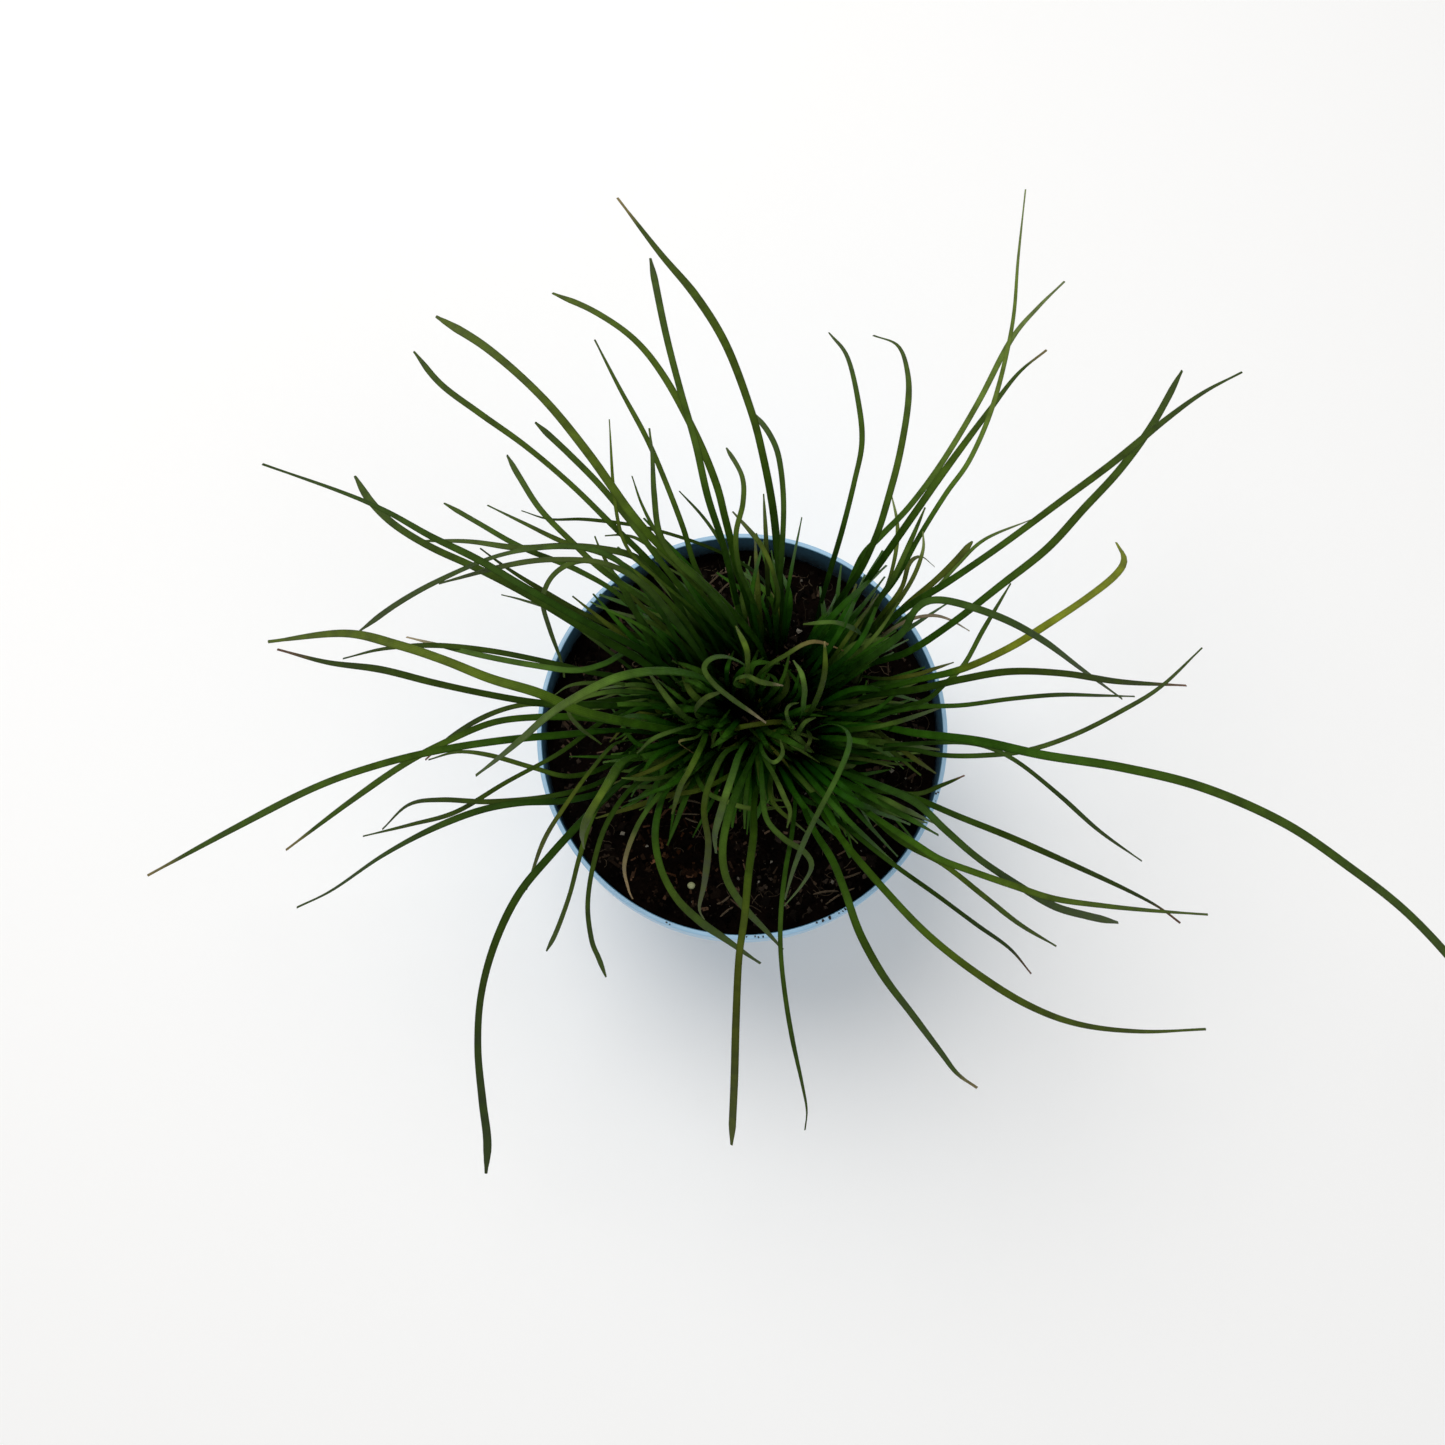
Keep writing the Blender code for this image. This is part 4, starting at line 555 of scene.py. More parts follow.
def sheath_foot(leaf):
    """Where a tuft's sheath stands, in mm: its middle and its lowest level."""
    foot = sight_point(leaf.route[0], POT_HEIGHT - SOIL_DEPTH_BELOW_RIM)
    return np.array((foot[0], foot[1], soil_level(foot[0], foot[1]) + LEAF_START - 0.2))


def sheath_envelope(leaf):
    foot = sheath_foot(leaf)
    bottom = level_ring(foot - (0, 0, LEAF_CLEARANCE), SHEATH_RADIUS + LEAF_CLEARANCE, SHEATH_SIDES)
    top_level = foot + (0, 0, SHEATH_HEIGHT + LEAF_CLEARANCE)
    top = level_ring(top_level, SHEATH_TOP_RADIUS + LEAF_CLEARANCE, SHEATH_SIDES)
    verts = [Vector(corner) for corner in bottom + top]
    return verts, tube_ends(SHEATH_SIDES, 2) + tube_faces(SHEATH_SIDES, 2)


def settle(leaves):
    """Moves each leaf's crest and root as little as clears it of the leaves and sheaths of other nodes."""
    placed = []
    for node in sorted({leaf.node for leaf in leaves if leaf.node.startswith("tuft")}):
        first = next(leaf for leaf in leaves if leaf.node == node)
        verts, faces = sheath_envelope(first)
        sizes = np.array(verts)
        placed.append((node, BVHTree.FromPolygons(verts, faces), sizes.min(axis=0), sizes.max(axis=0)))
    settled = []
    for leaf in leaves:
        best = None
        for moved in choices(leaf):
            share, line = leaf_line(moved, point_count(moved))
            verts, faces = envelope(moved, share, line)
            tree = BVHTree.FromPolygons(verts, faces)
            low = np.min(line, axis=0) - 4
            high = np.max(line, axis=0) + 4
            hits = 0
            for node, other, other_low, other_high in placed:
                apart = np.any(low > other_high) or np.any(high < other_low)
                if node != leaf.node and not apart:
                    hits += bool(tree.overlap(other))
            if best is None or hits < best[0]:
                best = (hits, moved, tree, low, high)
            if hits == 0:
                break
        placed.append((leaf.node, best[2], best[3], best[4]))
        settled.append(best[1])
        if best[0]:
            print("still touching", leaf.node, leaf.route[-1], best[0])
    return settled


def show(name, mesh, slot_name, coat, *nodes):
    """Puts a mesh in the scene as a piece that rides on the body and stands for some nodes."""
    piece = bpy.data.objects.new(name, mesh)
    bpy.context.scene.collection.objects.link(piece)
    mesh.materials.append(coat)
    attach(piece, "root")
    if nodes:
        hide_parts(*nodes)
    return piece


def mesh_from(name, verts, faces, smooth=True):
    mesh = bpy.data.meshes.new(name)
    mesh.from_pydata([tuple(v) for v in verts], [], faces)
    mesh.validate()
    if smooth:
        mesh.shade_smooth()
    return mesh


def put_floats(mesh, name, values):
    layer = mesh.attributes.new(name, "FLOAT", "POINT")
    layer.data.foreach_set("value", np.asarray(values, dtype=np.float32))


def put_colours(mesh, name, values):
    values = np.asarray(values, dtype=np.float32)
    rgba = np.column_stack((values, np.ones(len(values), dtype=np.float32)))
    layer = mesh.attributes.new(name, "FLOAT_COLOR", "POINT")
    layer.data.foreach_set("color", rgba.ravel())


def put_inputs(tree, made, inputs):
    """Sets a node's inputs to values, or links them to other nodes' outputs."""
    for key, value in inputs.items():
        if isinstance(value, bpy.types.NodeSocket):
            tree.links.new(value, made.inputs[key])
        else:
            made.inputs[key].default_value = value


def node(tree, kind, inputs=None, **settings):
    made = tree.nodes.new(kind)
    for key, value in settings.items():
        setattr(made, key, value)
    put_inputs(tree, made, inputs or {})
    return made


def new_material(name):
    coat = bpy.data.materials.new(name)
    coat.use_nodes = True
    return coat, coat.node_tree, coat.node_tree.nodes["Principled BSDF"]


def noise_node(tree, scale, detail, source, roughness=0.55):
    inputs = {"Scale": scale, "Detail": detail, "Roughness": roughness, "Vector": source}
    return node(tree, "ShaderNodeTexNoise", inputs).outputs["Fac"]


def ramp_range(tree, source, low_in, high_in, low_out, high_out):
    ends = {"From Min": low_in, "From Max": high_in, "To Min": low_out, "To Max": high_out}
    return node(tree, "ShaderNodeMapRange", {"Value": source, **ends}).outputs["Result"]


def math_node(tree, operation, *values):
    return node(tree, "ShaderNodeMath", dict(enumerate(values)), operation=operation).outputs["Value"]


def times(tree, colour, factor):
    """A colour multiplied by a single value."""
    inputs = {0: colour, "Scale": factor}
    return node(tree, "ShaderNodeVectorMath", inputs, operation="SCALE").outputs["Vector"]


def mix(tree, factor, first, second):
    """A colour between two others, which are outputs or plain values."""
    first, second = ((*value, 1.0) if isinstance(value, tuple) else value for value in (first, second))
    inputs = {"Factor": factor, 6: first, 7: second}
    return node(tree, "ShaderNodeMix", inputs, data_type="RGBA").outputs[2]


def bump(tree, height, strength, distance):
    inputs = {"Strength": strength, "Distance": distance, "Height": height}
    return node(tree, "ShaderNodeBump", inputs).outputs["Normal"]


def attribute(tree, name):
    return node(tree, "ShaderNodeAttribute", attribute_name=name)


def leaf_material():
    """A smooth leaf: tone along its length, fine lengthwise veins, faint mottling, painted light mid-leaf
    and shade at edges.
    """
    coat, tree, shader = new_material("chive_leaf")
    place = node(tree, "ShaderNodeTexCoord").outputs["Object"]
    across = attribute(tree, "across").outputs["Fac"]
    tone = attribute(tree, "tone").outputs["Color"]
    vein = math_node(tree, "SINE", math_node(tree, "MULTIPLY", across, VEIN_TURNS))
    blotch = noise_node(tree, 160.0, 4.0, place)
    grain = noise_node(tree, 2400.0, 3.0, place)
    edge = math_node(tree, "ABSOLUTE", across)
    shade = ramp_range(tree, vein, -1.0, 1.0, 0.90, 1.08)
    # The edge ramp paints a highlight down the leaf's middle and shade towards its edges
    for source, *ends in ((blotch, 0.3, 0.7, 0.72, 1.26), (grain, 0.3, 0.7, 0.90, 1.09),
                          (edge, 0.15, 0.5, 1.06, 0.88)):
        shade = math_node(tree, "MULTIPLY", shade, ramp_range(tree, source, *ends))
    relief = math_node(tree, "ADD", vein, math_node(tree, "MULTIPLY", grain, 0.6))
    put_inputs(tree, shader, {
        "Base Color": times(tree, tone, shade),
        "Roughness": ramp_range(tree, blotch, 0.3, 0.7, 0.48, 0.62),
        "Specular IOR Level": LEAF_SHINE,
        "Normal": bump(tree, relief, 0.35, 0.00006),
    })
    return coat


def steady_wave(rng, count, size):
    """A smooth run of values between minus and plus the size."""
    steps = np.linspace(0, 1, count)
    turns = rng.uniform(0.5, 2.2, 3)
    starts = rng.uniform(0, math.tau, 3)
    waves = sum(np.sin(math.tau * turn * steps + start) for turn, start in zip(turns, starts))
    return size * waves / 3


# Fans of short leaves between the long ones: how many, the lowest and highest crest, the routes of the two
# leaves at the fan's edges, in mm as the table gives them, and the shortest and longest reach
Fan = namedtuple("Fan", "count crests first last reach", defaults=((0.62, 1.15),))
FANS = (
    Fan(31, (42, 88), [(-22, 16), (-33, 27), (-45, 38)], [(3, 29), (-9, 43), (-26, 61)]),
    Fan(17, (38, 80), [(2, 28), (-1, 42), (-4, 57)], [(13, 27), (12.5, 42), (11, 58)]),
    Fan(34, (44, 90), [(18, 26), (25, 38), (31, 50)], [(24, 13), (38, 23), (53, 34)], (0.8, 1.3)),
    Fan(16, (36, 72), [(24, 10), (40, 15), (57, 20)], [(26, 1), (42, 2), (59, 2)]),
    Fan(13, (32, 60), [(26, 0), (41, -2), (57, -4)], [(24, -6), (36, -9), (50, -11)]),
    Fan(22, (36, 76), [(26, -9), (41, -17), (55, -24)], [(12, -11), (21, -24), (29, -36)]),
    Fan(13, (34, 66), [(10, -9), (13, -21), (16, -34)], [(-2, -8), (-5, -20), (-7, -33)]),
    Fan(20, (30, 66), [(-9, -6), (-18, -14), (-27, -21)], [(-17, -2), (-32, -7), (-49, -13)]),
    Fan(19, (34, 76), [(-17, -1), (-33, -2), (-50, -2)], [(-19, 12), (-33, 15), (-47, 17)]),
    Fan(17, (30, 64), [(-11, 3), (-19, 8), (-28, 13)], [(-6, 14), (-13, 20), (-22, 25)]),
    Fan(18, (30, 62), [(-5, 14), (-4, 21), (-5, 28)], [(12, 8), (16, 15), (20, 22)]),
    Fan(20, (30, 62), [(12, 4), (19, 6), (27, 8)], [(4, -1), (9, -6), (15, -12)]),
    Fan(15, (30, 56), [(0, 1), (-5, -4), (-10, -9)], [(-7, 6), (-14, 6), (-21, 5)]),
    Fan(14, (26, 50), [(-4, -10), (-10, -19), (-17, -28)], [(-12, -5), (-25, -12), (-37, -20)]),
)
FAN_WIDTHS = (1.2, 2.4)
FAN_TRIES = 6
ROOT_JITTER = 2.6
ROUTE_JITTER = 3.2
END_JITTER = 3.6
ROOT_SPREAD = 2.4
# The tones of the short leaves that lie on top of the others, and their share; the rest get painted shade
UPPER_TONES = ("fresh", "fresh", "pale", "green", "olive")
UPPER_SHARE = 0.5


# The cut stalk's foot and top as the eye sees them, and its size, in mm
CUT_STALK = ((7.3, 5.5), (6.0, 10.3))
CUT_STALK_HEIGHT = 13.0
CUT_STALK_RADIUS = 1.1
STALK_EDGE = math.radians(50)
CUT_STALK_SIDES = 16
CUT_STALK_RINGS = 8
CUT_STALK_TONE = np.array((0.26, 0.27, 0.020))
# A tuft's stalk: the height and radius of each ring, its tone, and how much that fades in a mm
STALK_RINGS = ((-ROOT_BURIED, 2.3), (1.5, 2.2), (5.0, 1.8), (8.5, 1.45), (SHEATH_HEIGHT, 1.1))
STALK_SIDES = 14
STALK_TONE = np.array((0.055, 0.075, 0.022))
STALK_FADE = 0.04


def short_leaf(fan, share, rng):
    """One leaf of a fan, at a share of the way from its first edge to its last."""
    first = np.array(fan.first, dtype=float)
    last = np.array(fan.last, dtype=float)
    reach = rng.uniform(*fan.reach)
    route = first + (last - first) * share
    route[1:] = route[0] + (route[1:] - route[0]) * reach
    route[0] += rng.uniform(-ROOT_JITTER, ROOT_JITTER, 2)
    route[1:] += rng.uniform(-ROUTE_JITTER, ROUTE_JITTER, (len(route) - 1, 2))
    route[-1] += rng.normal(0, END_JITTER, 2)
    crest = rng.uniform(*fan.crests) * reach
    tip = crest * rng.uniform(0.45, 0.95)
    upper = rng.uniform() < UPPER_SHARE
    # The leaves not on top take the darker "under" tone, a painted shade
    tone = UPPER_TONES[rng.integers(len(UPPER_TONES))] if upper else "under"
    return Leaf("short_leaf", rng.uniform(*FAN_WIDTHS), crest, tip, tone, list(route), LONG)


def room(leaf):
    """The space that a leaf takes: its tube, and the lowest and highest corners of that."""
    share, line = leaf_line(leaf, point_count(leaf))
    verts, faces = envelope(leaf, share, line)
    low = line.min(axis=0) - LEAF_CLEARANCE
    high = line.max(axis=0) + LEAF_CLEARANCE
    return BVHTree.FromPolygons(verts, faces), low, high


def short_leaves(taken, rng):
    """The fans' leaves, each put where it touches the fewest others."""
    rooms = [room(leaf) for leaf in taken]
    found = []
    for fan in FANS:
        for index in range(fan.count):
            best = None
            for _ in range(FAN_TRIES):
                leaf = short_leaf(fan, (index + rng.uniform(0, 1)) / fan.count, rng)
                tree, low, high = room(leaf)
                near = [other for other, other_low, other_high in rooms
                        if not (np.any(low > other_high) or np.any(high < other_low))]
                hits = sum(bool(tree.overlap(other)) for other in near)
                if best is None or hits < best[0]:
                    best = (hits, leaf, (tree, low, high))
                if hits == 0:
                    break
            found.append(best[1])
            rooms.append(best[2])
    return found


def leaf_mesh_data(leaf, rng):
    """The fine surface of a leaf: its points in mm, faces, tones and places across."""
    reach = route_length(leaf.route) + leaf.crest
    spacing = SHORT_RING_SPACING if leaf.node == "short_leaf" else RING_SPACING
    count = int(max(FEWEST_RINGS, min(MOST_RINGS, reach / spacing)))
    share, line = leaf_line(leaf, count)
    if leaf.node.startswith("tuft"):
        spread = ROOT_SPREAD * np.maximum(0.0, 1 - share / 0.3) ** 2
        angle = rng.uniform(0, math.tau)
        line = line + np.outer(spread, (math.cos(angle), math.sin(angle), 0.0))
    ways, sides = facings(line)
    turn = steady_wave(rng, count, TWIST)
    swell = 1 + steady_wave(rng, count, WIDTH_VARIATION)
    section = np.array(SECTION)
    tone = TONES[leaf.tone]
    bright = rng.uniform(*LEAF_BRIGHTNESS)
    warm = rng.uniform(*LEAF_WARMTH)
    body = np.array(tone.body) * bright * (warm, 1.0, 1.0)
    tip = np.array(tone.tip) * rng.uniform(*TIP_BRIGHTNESS)
    # Painted shade: the body's colour darkened towards the root, fading out over SHADE_SHARE
    root = body * ROOT_SHADE
    verts = []
    tones = []
    across = []
    rows = [(0.0, line[0] - (0.0, 0.0, ROOT_BURIED), ways[0], sides[0], turn[0], swell[0])]
    rows += list(zip(share, line, ways, sides, turn, swell))
    for part, point, way, side, angle, wide in rows:
        up = np.cross(side, way)
        across_way = side * math.cos(angle) + up * math.sin(angle)
        up_way = up * math.cos(angle) - side * math.sin(angle)
        size = width_at(leaf, part, point[2]) * wide
        ring = point + np.outer(section[:, 0] * size, across_way) + np.outer(section[:, 1] * size, up_way)
        verts.extend(ring)
        dry = min(1.0, max(0.0, (part - tone.start) / (tone.full + 0.001 - tone.start)))
        colour = root + (body - root) * min(1.0, part / SHADE_SHARE) ** SHADE_POWER
        colour = colour + (tip - colour) * dry ** TIP_POWER
        tones.extend([colour] * len(section))
        across.extend(section[:, 0])
    verts.append(line[-1] + ways[-1] * TIP_CAP * width_at(leaf, 1.0, line[-1][2]))
    tones.append(tip)
    across.append(0.0)
    per = len(section)
    last = (len(rows) - 1) * per
    faces = tube_ends(per, len(rows))[:1] + tube_faces(per, len(rows))
    faces += [(last + k, last + (k + 1) % per, len(verts) - 1) for k in range(per)]
    return verts, faces, tones, across


def sheath_data(leaf):
    """The short stalk that a tuft's leaves grow out of."""
    foot = sheath_foot(leaf)
    verts = []
    tones = []
    for height, radius in STALK_RINGS:
        verts += level_ring(foot + (0, 0, height), radius, STALK_SIDES)
        tones += [STALK_TONE * (1 - STALK_FADE * height)] * STALK_SIDES
    rings = len(STALK_RINGS)
    return verts, tube_ends(STALK_SIDES, rings) + tube_faces(STALK_SIDES, rings), tones, [0.0] * len(verts)


def joined(parts):
    """Several surfaces as one: points, faces, and the values of each point."""
    verts = []
    faces = []
    tones = []
    across = []
    for part_verts, part_faces, part_tones, part_across in parts:
        base = len(verts)
        faces.extend(tuple(i + base for i in face) for face in part_faces)
        verts.extend(part_verts)
        tones.extend(part_tones)
        across.extend(part_across)
    return np.array(verts) * MM, faces, tones, across


def show_leaves(name, parts, slot_name, coat, *nodes):
    """Puts several leaf surfaces in the scene as one piece, with their tones and places across."""
    verts, faces, tones, across = joined(parts)
    mesh = mesh_from(name, verts, faces)
    put_colours(mesh, "tone", tones)
    put_floats(mesh, "across", across)
    return show(name, mesh, slot_name, coat, *nodes)


def add_leaves():
    rng = np.random.default_rng(SEED)
    coat = leaf_material()
    groups = {}
    settled = settle(LEAVES)
    for leaf in settled:
        groups.setdefault(leaf.node, []).append(leaf)
    for name, leaves in groups.items():
        parts = [leaf_mesh_data(leaf, rng) for leaf in leaves]
        if name.startswith("tuft"):
            parts.append(sheath_data(leaves[0]))
        show_leaves(name + "_shown", parts, SLOTS[leaves[0].tone], coat, name)
    parts = [leaf_mesh_data(leaf, rng) for leaf in short_leaves(settled, rng)]
    show_leaves("short_leaves", parts, SLOTS["dark"], coat)
    stalk = show_leaves("cut_stalk", [cut_stalk_data()], SLOTS["bright"], coat)
    stalk.data.set_sharp_from_angle(angle=STALK_EDGE)


def cut_stalk_data():
    """The short stalk left where a leaf was cut off."""
    level = POT_HEIGHT - SOIL_DEPTH_BELOW_RIM
    foot = np.array(sight_point(CUT_STALK[0], level - ROOT_BURIED))
    top = np.array(sight_point(CUT_STALK[1], level + CUT_STALK_HEIGHT))
    verts = []
    tones = []
    for t in np.linspace(0, 1, CUT_STALK_RINGS):
        radius = CUT_STALK_RADIUS * (1.15 - 0.25 * t)
        verts += level_ring(foot + (top - foot) * t, radius, CUT_STALK_SIDES, 0.8)
        # The stalk is darkened towards its foot: painted shade near the soil
        tones += [CUT_STALK_TONE * (0.3 + 0.7 * t)] * CUT_STALK_SIDES
    faces = tube_ends(CUT_STALK_SIDES, CUT_STALK_RINGS) + tube_faces(CUT_STALK_SIDES, CUT_STALK_RINGS)
    return verts, faces, tones, [0.0] * len(verts)


def fillet(points, radii):
    """An outline whose corners are rounded, each by its own radius."""
    out = []
    for i, (point, radius) in enumerate(zip(points, radii)):
        here = np.array(point, dtype=float)
        if radius <= 0 or i in (0, len(points) - 1):
            out.append(tuple(here))
            continue
        before = np.array(points[i - 1], dtype=float) - here
        after = np.array(points[i + 1], dtype=float) - here
        reach = min(radius, 0.45 * np.linalg.norm(before), 0.45 * np.linalg.norm(after))
        first = here + before / np.linalg.norm(before) * reach
        second = here + after / np.linalg.norm(after) * reach
        for t in np.linspace(0, 1, 6):
            out.append(tuple((1 - t) ** 2 * first + 2 * t * (1 - t) * here + t * t * second))
    return out


def pot_outline():
    """The pot's section: from the middle of its floor up the inside, over the rim, down and under."""
    inner_rim = RIM_RADIUS - WALL
    foot_inside = BASE_RADIUS - FOOT_WIDTH
    corners = [
        (0.0, FLOOR_TOP, 0.0),
        (BASE_RADIUS - WALL - EDGE_BEVEL / 2, FLOOR_TOP, FLOOR_CORNER),
        (BODY_TOP_RADIUS - WALL, WALL_STEP_BOTTOM, 1.0),
        (inner_rim, WALL_STEP_TOP, 1.0),
        (inner_rim, POT_HEIGHT, EDGE_ROUND),
        (RIM_RADIUS, POT_HEIGHT, EDGE_ROUND),
        (RIM_RADIUS, BAND_BOTTOM - BAND_STEP / 2, EDGE_BEVEL),
        (BODY_TOP_RADIUS, BAND_BOTTOM - BAND_STEP, EDGE_BEVEL),
        (BASE_RADIUS, 0.0, EDGE_BEVEL),
        (foot_inside, 0.0, EDGE_ROUND),
        (foot_inside - EDGE_BEVEL, ARCH_HEIGHT, EDGE_ROUND),
        (PAD_RADIUS + EDGE_BEVEL, ARCH_HEIGHT, EDGE_ROUND),
        (PAD_RADIUS, 0.0, EDGE_ROUND),
        (0.0, 0.0, 0.0),
    ]
    return fillet([c[:2] for c in corners], [c[2] for c in corners])


# How deep in the wall, in mm from its outside, the pot's inside starts, which is painted a darker blue as
# shade
INSIDE_DEPTH = 0.85 * WALL
# How strongly the inside's painted shade is mixed in, and its darker blue
INSIDE_SHADE_SHARE = 0.85
INSIDE_SHADE_TONE = (0.030, 0.135, 0.230)
DIRT_TONE = (0.03, 0.025, 0.02)
POT_TONES = ((0.30, 0.51, 0.71), (0.35, 0.57, 0.77))


def pot_material():
    """Light-blue moulded plastic: satin, with faint flow marks; inside, painted shade in darker blue, with
    soil dust.
    """
    coat, tree, shader = new_material("pot_plastic_shown")
    place = node(tree, "ShaderNodeTexCoord").outputs["Object"]
    parts = node(tree, "ShaderNodeSeparateXYZ", {0: place}).outputs
    height = parts[2]
    cloud = noise_node(tree, 22.0, 5.0, place)
    fine = noise_node(tree, 900.0, 4.0, place)
    base = mix(tree, ramp_range(tree, cloud, 0.35, 0.65, 0.0, 1.0), *POT_TONES)
    flat = node(tree, "ShaderNodeCombineXYZ", {0: parts[0], 1: parts[1]}).outputs[0]
    radius = node(tree, "ShaderNodeVectorMath", {0: flat}, operation="LENGTH").outputs["Value"]
    foot = (BASE_RADIUS - INSIDE_DEPTH) * MM
    top = (BODY_TOP_RADIUS - INSIDE_DEPTH) * MM
    skin = ramp_range(tree, height, 0.0, BAND_BOTTOM * MM, foot, top)
    in_band = math_node(tree, "GREATER_THAN", height, (BAND_BOTTOM - BAND_STEP / 2) * MM)
    band_out = math_node(tree, "MULTIPLY", in_band, (RIM_RADIUS - BODY_TOP_RADIUS) * MM)
    inside = math_node(tree, "LESS_THAN", radius, math_node(tree, "ADD", skin, band_out))
    above_floor = math_node(tree, "GREATER_THAN", height, FLOOR_TOP * 0.9 * MM)
    inside = math_node(tree, "MULTIPLY", inside, above_floor)
    soil_line = (POT_HEIGHT - SOIL_DEPTH_BELOW_RIM) * MM
    low = ramp_range(tree, height, soil_line - 0.001, soil_line + 0.009, 1.0, 0.0)
    low = math_node(tree, "MULTIPLY", low, ramp_range(tree, cloud, 0.3, 0.6, 0.5, 1.0))
    dirt = math_node(tree, "MULTIPLY", inside, low)
    dirt = math_node(tree, "MULTIPLY", dirt, ramp_range(tree, fine, 0.35, 0.6, 0.5, 1.0))
    # Painted shade: the pot's inside is mixed towards a darker blue
    shaded_inside = mix(tree, math_node(tree, "MULTIPLY", inside, INSIDE_SHADE_SHARE), base, INSIDE_SHADE_TONE)
    put_inputs(tree, shader, {
        "Base Color": mix(tree, dirt, shaded_inside, DIRT_TONE),
        "Roughness": ramp_range(tree, fine, 0.3, 0.7, 0.34, 0.46),
        "Normal": bump(tree, fine, 0.25, 0.00008),
    })
    return coat


def add_pot():
    outline = pot_outline()
    mesh = bpy.data.meshes.new("pot_shown")
    work = bmesh.new()
    verts = [work.verts.new((radius * MM, 0.0, height * MM)) for radius, height in outline]
    edges = [work.edges.new(pair) for pair in zip(verts, verts[1:])]
    bmesh.ops.spin(work, geom=verts + edges, cent=(0, 0, 0), axis=(0, 0, 1), angle=math.tau,
                   steps=POT_STEPS, use_duplicate=False)
    bmesh.ops.remove_doubles(work, verts=work.verts, dist=0.00001)
    bmesh.ops.recalc_face_normals(work, faces=work.faces)
    work.to_mesh(mesh)
    work.free()
    mesh.shade_smooth()
    piece = show("pot_shown", mesh, "pot_plastic", pot_material(), "pot")
    for index in range(HOLE_COUNT):
        angle = math.tau * (index + 0.5) / HOLE_COUNT
        drill_mesh = bpy.data.meshes.new("drain")
        work = bmesh.new()
        bmesh.ops.create_cone(work, cap_ends=True, segments=HOLE_SIDES, radius1=HOLE_RADIUS * MM,
                              radius2=HOLE_RADIUS * MM, depth=DRILL_DEPTH * MM)
        work.to_mesh(drill_mesh)
        work.free()
        drill = bpy.data.objects.new(f"drain_{index + 1}", drill_mesh)
        drill.location = (HOLE_RING_RADIUS * MM * math.cos(angle), HOLE_RING_RADIUS * MM * math.sin(angle),
                          FLOOR_TOP / 2 * MM)
        drill.hide_render = True
        drill.display_type = "WIRE"
        bpy.context.scene.collection.objects.link(drill)
        cut = piece.modifiers.new(drill.name, "BOOLEAN")
        cut.operation = "DIFFERENCE"
        cut.object = drill
    return piece


def soil_height(x, y):
    """Height in mm of the crumbly soil, above the floor."""
    rough = noise.fractal(Vector((x * 0.16, y * 0.16, 3.0)), 0.9, 2.1, 5) * 1.2
    fine = noise.fractal(Vector((x * 0.7, y * 0.7, 8.0)), 0.8, 2.1, 4) * 0.6
    radius = math.hypot(x, y)
    edge = max(0.0, (radius - 56.0) / 6.4)
    return soil_level(x, y) + rough + fine - SOIL_EDGE_DROP * edge


def soil_material():
    coat, tree, shader = new_material("soil_shown")
    place = node(tree, "ShaderNodeTexCoord").outputs["Object"]
    patch = noise_node(tree, 90.0, 6.0, place, 0.7)
    grit = noise_node(tree, 1500.0, 4.0, place, 0.7)
    # The soil's own brown with painted shade for the gaps, then lighter grit
    base = mix(tree, ramp_range(tree, patch, 0.35, 0.65, 0.0, 1.0), *SOIL_AND_GAP_SHADE_TONES)
    put_inputs(tree, shader, {
        "Base Color": mix(tree, ramp_range(tree, grit, 0.58, 0.82, 0.0, 0.5), base, GRIT_TONE),
        "Roughness": 0.95,
        "Specular IOR Level": 0.02,
        "Normal": bump(tree, grit, 0.8, 0.0006),
    })
    return coat


def bits_material(name, roughness):
    """Small pieces in the soil, each with its own tone."""
    coat, tree, shader = new_material(name)
    place = node(tree, "ShaderNodeTexCoord").outputs["Object"]
    tone = attribute(tree, "tone").outputs["Color"]
    grit = noise_node(tree, 2600.0, 4.0, place, 0.7)
    put_inputs(tree, shader, {
        "Base Color": times(tree, tone, ramp_range(tree, grit, 0.3, 0.7, 0.6, 1.35)),
        "Roughness": roughness,
        "Specular IOR Level": 0.03,
        "Normal": bump(tree, grit, 0.6, 0.0003),
    })
    return coat


def add_soil():
    """The soil's crumbly top and its plain sides."""
    inset = WALL + 2 * GAP
    top_radius = RIM_RADIUS - inset
    verts = [(0.0, 0.0, soil_height(0.0, 0.0))]
    faces = []
    rows = []
    angles = [math.tau * step / SOIL_STEPS for step in range(SOIL_STEPS)]
    for ring in range(1, SOIL_RINGS + 1):
        radius = top_radius * ring / SOIL_RINGS
        rows.append(len(verts))
        for angle in angles:
            x = radius * math.cos(angle)
            y = radius * math.sin(angle)
            verts.append((x, y, soil_height(x, y)))
    sides = ((top_radius, WALL_STEP_TOP + 3 * GAP), (BODY_TOP_RADIUS - inset, WALL_STEP_BOTTOM),
             (BASE_RADIUS - inset, FLOOR_TOP + FLOOR_CORNER + GAP))
    for radius, height in sides:
        rows.append(len(verts))
        verts.extend((radius * math.cos(angle), radius * math.sin(angle), height) for angle in angles)
    for step in range(SOIL_STEPS):
        after = (step + 1) % SOIL_STEPS
        faces.append((0, rows[0] + step, rows[0] + after))
        for inner, outer in zip(rows, rows[1:]):
            faces.append((inner + step, outer + step, outer + after, inner + after))
    faces.append(tuple(reversed(range(rows[-1], rows[-1] + SOIL_STEPS))))
    mesh = mesh_from("soil_shown", np.array(verts) * MM, faces)
    show("soil_shown", mesh, "soil", soil_material(), "soil")


